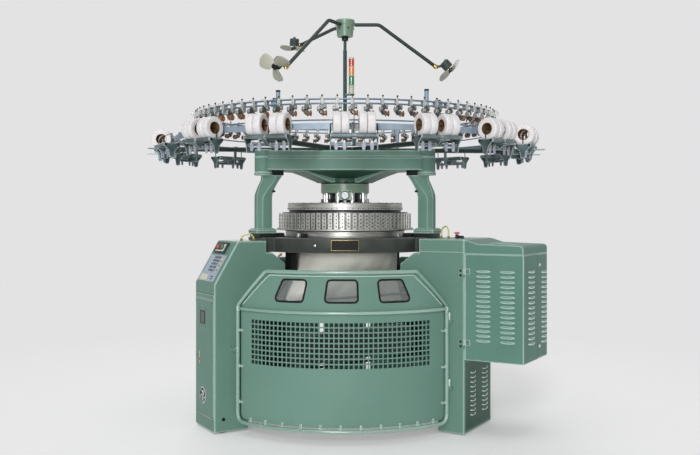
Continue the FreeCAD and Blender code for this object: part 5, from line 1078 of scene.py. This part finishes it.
def window_loop(spans, grow, corner):
    low_left, low_right, high_right, high_left = spans
    low, high = WINDOW_LOW - grow, WINDOW_HIGH + grow
    corners = [(low_left - grow, low), (low_right + grow, low), (high_right + grow, high),
               (high_left - grow, high)]
    corners = [(GATE_RADIUS * math.asin(x / SHEET_RADIUS), z) for x, z in corners]
    return rounded(corners, corner, 5)


def gate_loop(left, right, inset, bend):
    lean = run_of(GATE_SHOULDER)
    top, low = GATE_TOP - inset * 0.1, GATE_BOTTOM + inset * 1.35
    a, b = run_of(left) + inset, run_of(right) - inset
    knee = GATE_MIDDLE + 20.0 - inset * 0.3
    corners = [(a, low), (b, low), (b, knee), (b - lean + inset * 0.5, top), (a + lean - inset * 0.5, top),
               (a, knee)]
    return rounded(corners, [bend, bend, 50.0, 40.0, 40.0, 50.0], 6)


def knuckles(half_width, side, azimuth, post):
    """A gate's own hinge eyes and their straps to its post."""
    across = half_width + 17.5
    reach = math.sqrt(1035.0 ** 2 - across ** 2)
    parts = []
    for height in (338.0, 803.0):
        eye = placed(moved(lathe([(6.2, 0), (10, 0), (11, 1), (11, 49), (10, 50), (6.2, 50)], 24, True),
                           reach, side * across, height), azimuth)
        centre = placed(([Vector((reach, side * across, height))], []), azimuth)[0][0]
        away = Vector((post.x, post.y, height)) - centre
        start = centre + away.normalized() * 9.0
        web = extrude(rectangle((away.length - 9.0) / 2, 0.0, away.length - 9.0, 9.0, 2.0), 2.0, 48.0)
        web = turned(web, math.degrees(math.atan2(away.y, away.x)))
        parts += [eye, moved(web, start.x, start.y, start.z)]
    return parts


def gate_tubes(left, right, half_width, side, azimuth, turn):
    loop = gate_loop(left, right, 0.0, 64.0)
    a, b = run_of(left), run_of(right)
    parts = [gate_tube(loop, GATE_TUBE, True), gate_tube([(a, GATE_MIDDLE), (b, GATE_MIDDLE)], 11.7)]
    post = point(left if side > 0 else right, GATE_RADIUS, 0.0)
    parts += knuckles(half_width, side, azimuth - turn, post)
    count = 11
    for index in range(count):
        azimuth = left + 7.0 + (right - left - 14.0) * index / (count - 1)
        tab = slab(1018.0, 0.0, 13.0, 16.0, GATE_BOTTOM + 2.0, GATE_BOTTOM + 42.0, 2.0)
        parts.append(placed(tab, azimuth))
    for azimuth in (left + 1.1, right - 1.1):
        for height in (220.0, 470.0, 720.0):
            parts.append(placed(moved(box(1012.0, 1026.0, -20.0, 20.0, 0.0, 16.0), 0, 0, height), azimuth))
    return parts


def make_gates():
    left, right = -GATE_LEFT, GATE_RIGHT
    out = point(left, 1.0, 0.0)
    parts = gate_tubes(left, right, DRIVE_WIDTH / 2, -1, DRIVE, 0.0)
    parts.append(pointed(lathe([(6.2, 10), (12, 10), (12, 18), (11, 19), (6.2, 19)], 24, True),
                         point(left, GATE_RADIUS, 590.0), out))
    make("front_gate_tubes", parts, TUBE, "front_gate", ["front_gate_frame"], smooth=45.0)
    a, b, lean = run_of(left), run_of(right), run_of(GATE_SHOULDER)
    bead = rounded([(a + 42, 912), (a + lean + 18, 1124), (b - lean - 18, 1124), (b - 42, 912)],
                   34.0, 5, False)
    make("front_gate_bead", gate_tube(bead, 5.0, False, 1015.0, 8), TUBE, "front_gate")
    spans = ((-487, -283, -250, -423), (-141, 90, 85, -120), (233, 451, 387, 215))
    holes = [window_loop(span, 0.0, 30.0) for span in spans]
    for row in range(9):
        for column in range(40):
            run = run_of(-39.0 + column * 1.88)
            holes.append(rectangle(run, 798.0 - row * 35.0, 25.0, 25.5))
    sheet = bent(gate_loop(left, right, 15.5, 44.0), holes, SHEET_RADIUS, 3.0)
    make("front_gate_sheet", sheet, SHEET, "front_gate", ["front_gate_panel"], smooth=30.0)
    seals, panes = [], []
    for span in spans:
        seals.append(gate_tube(window_loop(span, -3.0, 28.0), 7.0, True, SHEET_RADIUS - 1.5, 10))
        panes.append(bent(window_loop(span, -4.0, 28.0), [], SHEET_RADIUS - 0.5, 3.0))
    make("front_gate_rubber", seals, RUBBER, "front_gate", ["front_gate_seals"])
    make("front_gate_glass", panes, GLASS, "front_gate", ["front_gate_panes"], smooth=30.0)
    rear = (("rear_left_gate", -GATE_LEFT, GATE_LEFT, 1, -120.0, "back_left_gate"),
            ("rear_right_gate", -GATE_RIGHT, GATE_LEFT, -1, 120.0, "back_right_gate"))
    for name, left, right, side, middle, body in rear:
        tubes = turned(gate_tubes(left, right, LEG_WIDTH / 2, side, REAR, middle), middle)
        make(name + "_tubes", tubes, TUBE, body, [name], smooth=45.0)
        sheet = turned(bent(gate_loop(left, right, 15.5, 44.0), [], SHEET_RADIUS, 3.0), middle)
        make(name + "_sheet", sheet, SHEET, body, smooth=30.0)


# ---------------------------------------------------------------- drive cabinet
def make_cabinet():
    half = DRIVE_WIDTH / 2
    start, end, low, top = DRIVE_REACH + GAP, CABINET_END, CABINET_BOTTOM, CABINET_TOP
    sheets = [box(start, end, half - 4, half, low, top), box(start, end, -half, half - 4, low, low + 4),
              box(end - 4, end, 32.0, half - 4, low + 4, top - 4),
              box(start, start + 4, -half, -46.0, low + 4, top - 4),
              box(start, start + 4, 46.0, half - 4, low + 4, top - 4),
              box(start, start + 4, -46.0, 46.0, low + 4, 1100.0),
              box(start, end, -half, half - 4, top - 4, top),
              box(end - 30, end - 4, 12.0, 32.0, low + 4, top - 4),
              box(start + 4, start + 30, -half, -half + 4, low + 4, top - 4)]
    make("cabinet_sheets", sheets, CABINET, replaces=["cabinet_shell"], edge=1.2, at=DRIVE)
    # The lips carry a painted highlight.
    for name, shape, material in (("louvres", louvre, CABINET), ("lips", lip, END_LIP_HIGHLIGHT)):
        make("cabinet_end_" + name, louvres(shape, 113.0, end, 187.0, 628.0), material, at=DRIVE)
    outline = rounded([(start, top), (end, top), (end, top + 63), (1204.3, top + 71), (start, top + 101)],
                      [0, 0, 46, 60, 4], 6)
    lid = extrude(outline, -half - 3.5, half, "XZ")
    make("cabinet_lid", lid, CABINET, edge=9.0, steps=3, at=DRIVE)
    ridge = extrude(rounded([(1250, top + 66), (1452, top + 60), (1440, top + 70), (1265, top + 77)],
                            [0, 0, 8, 8], 3), -150.0, 120.0, "XZ")
    make("cabinet_lid_ridge", ridge, CABINET, edge=2.5, at=DRIVE)
    # Black band along the lid's lower edge: painted shadow line under the overhang.
    seam = box(start + 2, end - 1, -half - 0.6, half + 0.6, top - 2.0, top + 2.5)
    make("cabinet_lid_seam", seam, BLACK, at=DRIVE)
    plate = slab(1480.0, 1175.0, 80.0, 195.0, half, half + 10.0, 8.0, "XZ")
    make("cabinet_back_plate", plate, CREAM, edge=2.0, at=DRIVE)
    make_door(half, end, low, top)


def make_door(half, end, low, top):
    front, face = -half - GAP, end + GAP
    fold = rounded([(1110.3, front - 3), (face + 3, front - 3), (face + 3, 32.5), (face, 32.5), (face, front),
                    (1110.3, front)], [0, 7, 0, 0, 4, 0], 4)
    make("door_sheet", extrude(fold, low + GAP, top - GAP), CABINET, "door", ["cabinet_door"], edge=1.0,
         at=DRIVE)
    pressed, lips = [[louvres(shape, 102.0, x, front - 3.0, 659.0, 15, 34.0, -90.0) for x in (1244.0, 1417.5)]
                     for shape in (louvre, lip)]
    pressed.append(louvres(louvre, 117.0, face + 3.0, -105.5, 644.0))
    make("door_louvres", pressed, CABINET, "door", at=DRIVE)
    # The lips carry a painted highlight, lighter on the end face.
    make("door_lips", lips, LIP_HIGHLIGHT, "door", at=DRIVE)
    make("door_end_lips", louvres(lip, 117.0, face + 3.0, -105.5, 644.0), END_LIP_HIGHLIGHT, "door", at=DRIVE)
    # Strip along the door's return in the darker green of painted shade.
    edging = box(face + 3, face + 4.2, 26.0, 30.0, low + 4, top - 4)
    make("door_return_seam", edging, SHADED_GREEN, "door", at=DRIVE)
    x, y = 1103.0, -half - 6.5 - GAP
    eye = lathe([(3.2, 0), (6, 0), (6.5, 1), (6.5, 39), (6, 40), (3.2, 40)], 20, True)
    hinges, screws = [], []
    for height in (630.0, 1122.0):
        hinges.append(moved(eye, x, y, height))
        hinges.append(box(x + 5.0, x + 44.0, front - 5.6, front - 2.6, height, height + 40.0))
        for z in (height + 9.0, height + 31.0):
            screws.append(screw(4.2, 2.4, (x + 30.0, front - 5.4, z), (0, -1, 0)))
    make("door_hinge_eyes", hinges, CABINET, "door", edge=0.8, at=DRIVE)
    make("door_hinge_screws", screws, BLACK, "door", at=DRIVE)
    leaf = [screw(9.0, 4.0, (1077.0, -half - 3.0, z), (0, -1, 0)) for z in (622.0, 654.0, 1114.0, 1146.0)]
    make("hinge_leaf_screws", leaf, BLACK, at=DRIVE)
    for name, height, body in (("upper_handle", 1184.0, "handle_up"), ("lower_handle", 615.0, "handle_low")):
        rose = lathe([(0, 0), (15, 0), (15, 3), (12.5, 6), (0, 6)], 28)
        grip = slab(60.0, height, 50.0, 12.0, face + 5.5, face + 11.0, 5.5, "YZ")
        parts = [pointed(rose, (face, 73.0, height), (1, 0, 0)), grip,
                 pointed(drum(7.5, -7.5, 1.0, 1.0, 20), (face, 73.0, height), (1, 0, 0))]
        make(name + "_turned", parts, CHROME, body, [name], edge=1.0, at=DRIVE)


# ---------------------------------------------------------------- yarn feeding
def make_feeders():
    inner, outer = FEEDER_RADIUS - RAIL_DEEP / 2, FEEDER_RADIUS + RAIL_DEEP / 2
    rails = [hoop(inner, outer, z - RAIL_HIGH / 2, z + RAIL_HIGH / 2, 2.0, 180)
             for z in (FEEDER_LOWER, FEEDER_UPPER)]
    guide = sweep([point(turn, FEEDER_RADIUS, 2155.0) for turn in range(0, 360, 2)], 5.0, 10, True,
                  lambda spot: UP)
    lug = box(1113.0, 1127.0, -9.0, 9.0, 2150.5, 2155.5)
    make("feeder_rails", rails + [guide, all_arms(lug)], RAIL, replaces=["yarn_rings"])
    bracket = extrude(rounded([(1143.4, 2206), (1152, 2206), (1151, 2252), (1158, 2262), (1158, 2290),
                               (1150, 2297), (1150, 2306), (1143.4, 2306)], [0, 2, 6, 4, 4, 3, 3, 2], 2),
                      -5.0, 5.0, "XZ")
    make("feeder_brackets", all_feeders(bracket), CREAM, replaces=["feeders"], edge=1.2)
    housing = slab(1160.5, 0.0, 33.0, 17.0, 2188.0, 2214.0, 4.0)
    neck = slab(1157.0, 0.0, 16.0, 13.0, 2214.0, 2250.0, 3.0)
    make("feeder_bodies", all_feeders([housing, neck]), SHADE, edge=1.5)
    knob = lathe([(0, 0), (3, 0), (3, 5), (6.5, 7), (6.5, 12), (4, 15), (0, 15.5)], 14)
    make("feeder_knobs", all_feeders(moved(knob, 1147.0, 0.0, 2305.0)), BLACK)
    wheel = lathe([(0, 0), (18, 0), (20, 2), (20, 5), (14, 8), (13, 13), (14, 18), (20, 21), (20, 24),
                   (18, 26), (8, 26), (6, 23), (0, 23)], 22)
    wheel = pointed(wheel, (1169.0, 8.3, 2196.0), (0, 1, 0))
    make("feeder_wheels_turned", all_feeders(wheel), COPPER, replaces=["feeder_wheels"])
    disc = lathe([(0, 0), (9, 0), (10, 2), (10, 5), (8, 7), (3, 7), (3, 10), (0, 10)], 16)
    discs = [pointed(disc, (1177.0, 0.0, 2202.0), (1, 0, 0)),
             pointed(disc, (1144.0, -3.0, 2224.0), (-1, 0, 0))]
    make("feeder_discs", all_feeders(discs), DARK_STEEL)
    clamp = slab(1130.0, 0.0, 34.0, 20.0, 2257.0, 2300.0, 3.0)
    make("rail_clamps", all_feeders(clamp), SATIN, edge=1.5)
    head = lathe([(0, 0), (15, 0), (17, 2), (17, 7), (15, 9), (7, 9), (6, 13), (0, 13)], 20)
    heads = [pointed(head, (1162.0, 0.0, 2238.0), (1, 0, 0)),
             pointed(head, (1160.0, -8.0, 2212.0), (0, -1, 0))]
    make("feeder_heads", all_feeders(heads), DARK_STEEL)
    reel = lathe([(0, 0), (16, 0), (18, 2), (18, 4), (12, 7), (12, 13), (18, 16), (18, 18), (16, 20),
                  (0, 20)], 20)
    reels = [pointed(reel, spot, (0, 1, 0)) for spot in ((1164.0, -29.0, 2226.0), (1152.0, 9.0, 2240.0))]
    make("feeder_reels", all_feeders(reels), SATIN)
    wires = [sweep([(1158, -6, 2303), (1178, -8, 2300), (1184, -9, 2290)], 1.6, 6),
             sweep([(1174, 5, 2190), (1186, 5, 2178), (1192, 5, 2184), (1186, 5, 2192)], 1.6, 6)]
    make("feeder_wires", all_feeders(wires), SATIN)


def make_arms():
    arm = slab(0.0, 2034.0, 30.0, 34.0, 100.0, 1304.7, 4.0, "YZ")
    riser = slab(1293.0, 0.0, 24.0, 30.0, 2036.0, 2077.7, 3.0)
    hub = lathe([(15.5, 2008), (116, 2008), (120, 2012), (120, ARM_TOP - 4), (116, ARM_TOP),
                 (15.5, ARM_TOP)], 64, True)
    parts = [hub, all_arms(arm), all_arms(riser)]
    make("creel_arms", parts, SHADE, replaces=["ring_arms"], smooth=30.0)
    brace = extrude([(1180, 2018), (1296, 2018), (1296, 2010), (1180, 2014)], -10.0, 10.0, "XZ")
    make("arm_feet", all_arms(brace), BLACK, edge=1.5)
    band = hoop(SPOOL_RING - 8.0, SPOOL_RING, SPOOL_RING_LOW, SPOOL_RING_TOP, 1.5, 180)
    make("spool_ring_band", band, POST, replaces=["spool_ring"])
    post = slab(1099.5, 0.0, 26.0, 26.0, ARM_TOP, 2309.0, 4.0)
    grip = slab(1108.0, 0.0, 36.0, 44.0, 2253.0, 2303.0, 5.0)
    posts = [all_arms(post), all_arms(grip)]
    caps = [all_arms(slab(1099.5, 0.0, 30.0, 30.0, 2306.0, 2314.0, 5.0)),
            all_arms(slab(1099.5, 0.0, 48.0, 44.0, ARM_TOP, 2066.0, 5.0))]
    for azimuth, radius, foot in TALL_POSTS:
        spot = point(azimuth, radius, 0.0)
        posts.append(moved(drum(16.0, foot, 2450.0, 1.0, 32), spot.x, spot.y))
        cap = lathe([(0, 2448), (18, 2448), (18, 2460), (15, 2463), (0, 2463)], 32)
        rim = lathe([(16, foot), (30, foot), (30, foot + 14), (24, foot + 20), (16, foot + 20)], 32, True)
        caps += [moved(cap, spot.x, spot.y), moved(rim, spot.x, spot.y)]
    make("creel_posts", posts, POST, replaces=["ring_posts"], smooth=30.0)
    make("post_clamps", caps, BLACK, edge=1.2)


def make_hoses():
    """Oil hose and valve on the drive leg, and the short hose behind the left upright."""
    top = DRIVE_TOP + 1.0
    hose = rounded([(830, -30, top), (832, -30, top + 70), (880, -52, top + 92), (905, -72, top + 60),
                    (905, -74, top)], 36.0, 8, False)
    parts = [placed(sweep(hose, 5.5, 12), DRIVE)]
    left = rounded([(902, 66, LEG_TOP), (902, 66, LEG_TOP + 26), (880, 74, LEG_TOP + 42),
                    (842, 92, LEG_TOP + 48), (822, 98, LEG_TOP + 26), (820, 98, LEG_TOP)], 16.0, 8, False)
    parts.append(placed(sweep(left, 5.5, 12), CONTROL))
    make("oil_hoses", parts, HOSE)
    nuts = [placed(moved(drum(10.0, 0.0, 16.0, 1.5, 6), x, y, z), azimuth) for x, y, z, azimuth in (
        (830, -30, top, DRIVE), (905, -74, top, DRIVE), (902, 66, LEG_TOP, CONTROL),
        (820, 98, LEG_TOP, CONTROL))]
    make("hose_nuts", nuts, BRASS)
    body = join([moved(drum(13.0, 0.0, 26.0, 1.5, 16), 965.0, -60.0, top),
                 moved(drum(12.0, 0.0, 20.0, 1.5, 16), 1010.0, -70.0, top),
                 pointed(drum(9.0, 0.0, 44.0, 1.5, 16), (966.0, -60.0, top + 12.0), (1, -0.2, 0))])
    make("valve_body", body, BLACK, at=DRIVE)
    knob = lathe([(0, 0), (7, 0), (7, 6), (19, 9), (19, 18), (14, 21), (0, 21)], 20)
    make("valve_knob", moved(knob, 965.0, -60.0, top + 25.0), RED, at=DRIVE)


def make_units():
    height = SPOOL_HEIGHT - ROLLER_DROP
    top = height - ROLLER_RADIUS - GAP
    ring, hook = SPOOL_RING + GAP, SPOOL_RING_TOP + GAP
    outline = rounded([(ring, top - 44), (1420, top - 44), (1463, top - 16), (UNIT_REACH, top - 14),
                       (UNIT_REACH, top - 6), (1463, top - 6), (1463, top), (ring + 10, top),
                       (ring + 10, hook + 8), (ring - 16, hook + 8), (ring - 16, hook), (ring, hook)],
                      [8, 30, 20, 3, 3, 0, 0, 6, 3, 3, 0, 0], 3)
    beam = slab(UNIT_RADIUS, top - 34.0, 20.0, 20.0, -UNIT_HALF, UNIT_HALF, 4.0, "XZ")
    frames = join([extrude(outline, -12.0, 12.0, "XZ"), beam])
    make("unit_bodies", all_units(frames), FRAME, replaces=["unit_frames"], edge=1.5)
    cheeks, tabs, ends, rods = [], [], [], []
    for side in (-1, 1):
        near = side * (UNIT_HALF - 6.0 + GAP)
        cheek = rounded([(1384, top - 80), (1416, top - 80), (1424, top - 30), (1456, top + 4),
                         (1457, top + 24), (1343, top + 24), (1344, top + 4), (1376, top - 30)],
                        [14, 14, 20, 10, 6, 6, 10, 20], 4)
        cheeks.append(extrude(cheek, *sorted((near, near + side * 6)), "XZ"))
        rods.append(rod(3.5, (UNIT_RADIUS, side * 147.0, top + 20.0), (UNIT_RADIUS, side * 147.0, 2104.0), 8))
    make("unit_cheeks", all_units(cheeks), FRAME, edge=1.0)
    for across in (-112.0, -60.0, 60.0, 112.0):
        tab = rounded([(across - 9, top - 74), (across + 9, top - 74), (across + 12, top - 54),
                       (across + 12, top - 22), (across - 12, top - 22), (across - 12, top - 54)],
                      [8, 8, 8, 4, 4, 8], 4)
        tabs.append(extrude(tab, UNIT_RADIUS + 9.0, UNIT_RADIUS + 15.0, "YZ"))
        ends.append(slab(UNIT_RADIUS + 12.0, across, 20.0, 14.0, top - 34.0, top - 14.0, 3.0))
    make("unit_guides", all_units(tabs), LAVENDER, edge=1.0)
    make("unit_clips", all_units(ends), SATIN, edge=1.5)
    rods.append(rod(3.0, (UNIT_RADIUS, -147.0, 2103.0), (UNIT_RADIUS, 147.0, 2103.0), 8))
    make("unit_wires", all_units(rods), BLACK)
    rollers, caps = [], []
    profile = mirrored([(0, -144), (11, -144), (ROLLER_RADIUS, -141), (ROLLER_RADIUS, -6), (12, -4)])
    for x in (UNIT_RADIUS - ROLLER_SPREAD, UNIT_RADIUS + ROLLER_SPREAD):
        rollers.append(pointed(lathe(profile, 28), (x, 0.0, height), (0, 1, 0)))
        for side in (-1, 1):
            cap = lathe([(0, 0), (9, 0), (9, 5), (6, 8), (0, 8)], 16)
            caps.append(pointed(cap, (x, side * 150.0, height), (0, side, 0)))
    make("unit_rollers_turned", all_units(rollers), FRAME, replaces=["unit_rollers"])
    make("roller_caps", all_units(caps), BLACK)
    yarn, cores, lining = [], [], []
    for side in (-1, 1):
        for index in range(2):
            start = (UNIT_RADIUS, side * (SPOOL_START + index * SPOOL_WIDTH), SPOOL_HEIGHT)
            wound = lathe([(40, 2.0), (52, 1.0), (68, 0.6), (73, 3.0), (SPOOL_RADIUS, 8.0), (74.4, 25.5),
                           (SPOOL_RADIUS, 43.0), (73, 48.0), (68, 50.4), (52, 50.0), (40, 49.0)], 64, True)
            tube = lathe([(38.2, 0.2), (41, 0.2), (41, 50.8), (38.2, 50.8)], 40, True)
            inner = lathe([(SPOOL_BORE, 0.0), (38.6, 0.0), (38.6, 51.0), (SPOOL_BORE, 51.0)], 40, True)
            for made, shape in ((yarn, wound), (cores, tube), (lining, inner)):
                made.append(pointed(shape, start, (0, side, 0)))
    make("yarn_packages", all_units(yarn, LADEN), YARN, replaces=["spools"], smooth=50.0)
    make("package_cores", all_units(cores, LADEN), CARD)
    make("package_linings", all_units(lining, LADEN), BROWN)
    divider = extrude(rounded([(UNIT_RADIUS - 8, 2034), (UNIT_RADIUS + 8, 2034), (UNIT_RADIUS + 6, 2150),
                               (UNIT_RADIUS - 6, 2150)], [0, 0, 6, 6], 4), -2.5, 2.5, "XZ")
    make("package_dividers", all_units(divider, LADEN), BROWN, edge=0.8)


# ---------------------------------------------------------------- mast, lamp and fans
def make_mast():
    shaft = lathe([(0, ARM_TOP + 0.5), (15, ARM_TOP + 0.5), (15, 2811), (12, 2815),
                   (12, 2976), (0, 2976)], 36)
    shelf = extrude(rounded([(0, -14), (50, -20), (73, -12), (73, 12), (50, 20), (0, 14)],
                            [0, 10, 10, 10, 10, 0], 4), 2460.0, 2471.7)
    make("mast_tube", [shaft, shelf], MAST, replaces=["mast"], smooth=30.0)
    collar = lathe([(12.3, 2886), (24, 2886), (26, 2888), (26, 2913), (24, 2915.7), (12.3, 2915.7)], 36, True)
    grip = lathe([(0, 0), (5, 0), (5, 14), (9, 15), (9, 24), (7, 26), (0, 26)], 16)
    make("mast_collar", [collar, pointed(grip, (0.0, 24.0, 2900.0), (0.3, 1, 0))], BLACK)
    x = 50.0
    base = lathe([(0, 2472), (23, 2472), (23, 2476), (21, 2480), (21, 2532), (23, 2536), (23, 2540.5),
                  (0, 2540.5)], 40)
    top = lathe([(0, 2741.3), (23, 2741.3), (23, 2750), (20, 2756), (12, 2759.5), (0, 2760)], 40)
    bands = [hoop(12.0, 23.4, z - 2.0, z + 2.0, 0.8, 40) for z in (2612.0, 2686.0)]
    make("signal_housing", moved(join([base, top] + bands), x), LAMP_GREY, replaces=["lamp_housing"])
    for name, low, high in (("green", 2541.0, 2610.0), ("amber", 2614.0, 2684.0), ("red", 2688.0, 2740.7)):
        ribs = [(22.6 if step % 2 else 21.4, low + (high - low) * step / 10) for step in range(11)]
        make("signal_" + name, moved(lathe([(0, low)] + ribs + [(0, high)], 40), x), LENS[name],
             replaces=["lamp_lenses"] if name == "green" else ())


def make_fans():
    hub = lathe([(12.3, 2916), (58, 2916), (62, 2919), (68, 2990), (70, 3004), (75, 3006), (76, 3009),
                 (76, 3041), (72, 3046), (12.3, 3046)], 56, True)
    plug = lathe([(0, 3030), (14, 3030), (14, 3045.6), (0, 3045.6)], 24)
    make("fan_hub_turned", [hub, plug], HEAD, "fan_head", ["fan_hub"], smooth=30.0)
    bolt = pointed(drum(6.0, 0.0, 5.0, 1.0, 6), (69.5, 0.0, 2975.0), (1, 0, 0))
    make("fan_hub_bolts", around(bolt, 6, 20.0), BLACK, "fan_head")
    tubes, cans, joints = [], [], []
    for name, (azimuth, elbow, end, motor, axis) in FANS.items():
        axis = Vector(axis).normalized()
        motor = Vector(motor)
        path = [point(azimuth, 74.0, elbow[1]), point(azimuth, *elbow), point(azimuth, *end)]
        tubes.append(sweep(rounded(path, 60.0, 8, False), 14.0, 16))
        tubes.append(rod(9.8, path[-1], motor, 12))
        profile = [(0, 0), (30, 0), (36, 3)]
        for rib in range(6):
            low = 8.0 + rib * 8.0
            profile += [(40, low), (40, low + 4.5), (37, low + 5.0), (37, low + 7.5)]
        profile += [(40, 57), (40, 62), (34, 66), (0, 66)]
        cans.append(pointed(lathe(profile, 36), motor - axis * 33.0, axis))
        cans.append(moved(drum(12.0, 24.0, 36.0, 2.0, 20), *(motor - axis * 8.0)))
        ahead = (path[2] - path[1]).normalized()
        sleeve = lathe([(14, 0), (18, 2), (18, 20), (14, 22)], 20, True)
        joints.append(pointed(sleeve, path[2] - ahead * 20, ahead))
        joints.append(pointed(drum(13.0, -14.0, 14.0, 2.0, 20), path[2], (0, 0, 1)))
        make_rotor(name, motor + axis * 33.0, axis)
    make("fan_arm_tubes", tubes, SHADE, "fan_head", ["fan_arms"])
    make("fan_motors", cans, SHADE, "fan_head")
    make("fan_joints", joints, BRASS, "fan_head")


def make_rotor(name, front, axis):
    """Three broad rounded blades with a twist, and the dark hub."""
    blades = []
    for index in range(3):
        rings = []
        for step in range(13):
            t = step / 12
            reach = 18.0 + 101.0 * t
            half = 14.0 + 40.0 * math.sin(math.pi * min(1.0, 0.12 + 0.6 * t)) ** 0.9
            if t > 0.72:
                half *= math.sqrt(max(0.0, 1.0 - ((t - 0.72) / 0.285) ** 2.4))
            pitch = math.radians(30.0 - 12.0 * t)
            ring = []
            for turn in range(12):
                angle = math.tau * turn / 12
                u = math.cos(angle)
                lift = 1.1 * math.sin(angle) + 4.0 * (1.0 - u * u)
                across = u * half - 5.0 * t
                ring.append((reach, across * math.cos(pitch) - lift * math.sin(pitch),
                             21.0 + across * math.sin(pitch) + lift * math.cos(pitch)))
            rings.append(ring)
        blades.append(turned(skin(rings), index * 120.0))
    body = "rotor_" + name
    make("fan_blades_" + name, pointed(blades, front, axis), FAN, body, ["fan_rotor_" + name],
         smooth=60.0)
    hub = lathe([(0, -20), (5, -20), (5, 8), (22, 8), (24, 10), (24, 30), (20, 33.5), (9, 34), (8, 32.5),
                 (0, 32.5)], 36)
    make("fan_spinner_" + name, pointed(hub, front, axis), BLACK, body)


# ---------------------------------------------------------------- take-down and fabric
def make_takedown():
    for name, offset, body in (("nip_roller_a", -NIP_OFFSET, "nip_a"), ("nip_roller_b", NIP_OFFSET, "nip_b")):
        profile = mirrored([(0, -ROLLER_END), (15, -ROLLER_END), (15, -676), (22, -675.5), (22, -660),
                            (35, -656)])
        roll = pointed(lathe(profile, 48), (0.0, offset, NIP_HEIGHT), (1, 0, 0))
        make(name + "_turned", roll, RUBBER, body, [name], at=TAKEDOWN)
    end = [(0, -625), (16, -625), (30, -623.5), (31, -622), (60, -624.5), (62, -622.5), (92, -625),
           (116, -623), (120, -618)]
    waves = [-1.0 + 2.0 * step / 12 for step in range(13)]
    profile = end + [(118.6 + 1.2 * math.cos(5.0 * t), 600.0 * t) for t in waves]
    profile += [(r, -z) for r, z in reversed(end)]
    roll = pointed(lathe(profile, 96), (0.0, 0.0, CLOTH_HEIGHT), (1, 0, 0))
    make("wound_cloth", roll, CLOTH, "cloth", ["cloth_roll"], smooth=50.0, at=TAKEDOWN)
    shaft = [pointed(drum(15.0, low, low + 66.0, 1.0, 28), (0.0, 0.0, CLOTH_HEIGHT), (1, 0, 0))
             for low in (-ROLLER_END, 624.0)]
    make("cloth_shaft", shaft, SATIN, "cloth", at=TAKEDOWN)
    make_fabric()


def make_fabric():
    """Knitted tube: round under the cylinder, then drawn flat in long soft folds over the rollers."""
    rings = []
    count, levels = 160, 22
    flat = FABRIC_STRAIGHT - FABRIC_DROP
    heights = [1350.0, 1345.0, 1300.0, FABRIC_STRAIGHT]
    heights += [FABRIC_STRAIGHT - FABRIC_DROP * step / levels for step in range(1, levels + 1)]
    heights += [826.0, 812.0]
    for height in heights:
        share = min(1.0, max(0.0, (FABRIC_STRAIGHT - height) / FABRIC_DROP))
        wide = FABRIC_RADIUS + (FABRIC_HALF - FABRIC_RADIUS) * share
        deep = FABRIC_RADIUS + (FABRIC_THICK - FABRIC_RADIUS) * share ** 1.3
        if height < flat:
            deep = FABRIC_THICK - 4.0 * (flat - height) / 28.0
        ring = []
        for index in range(count):
            turn = math.tau * index / count
            soft = math.sin(math.pi * min(1.0, share)) ** 0.7
            fold = soft * (4.5 * math.sin(13.0 * turn + 0.9) + 3.5 * math.sin(23.0 * turn + 2.0 * share))
            near = min(1.0, deep / 60.0)
            ring.append(((wide + (fold - 8.0 * soft) * 0.6) * math.cos(turn),
                         (deep + (fold - 8.0 * soft) * near) * math.sin(turn), height))
        rings.append(ring)
    tube = make("knitted_fabric", skin(rings, capped=False), KNIT, "cylinder", ["fabric_tube"], smooth=80.0,
                at=TAKEDOWN)


set_camera()
set_suns()
set_world()
make_floor()
make_legs()
make_console()
make_bed()
make_head()
make_uprights()
make_crown()
make_gates()
make_cabinet()
make_feeders()
make_arms()
make_hoses()
make_units()
make_mast()
make_fans()
make_takedown()

# ---------------------------------------------------------------- CAD nodes that keep their shape
for name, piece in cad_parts.items():
    material = KEPT.get(name, PAINT)
    for slot in piece.material_slots:
        slot.material = material
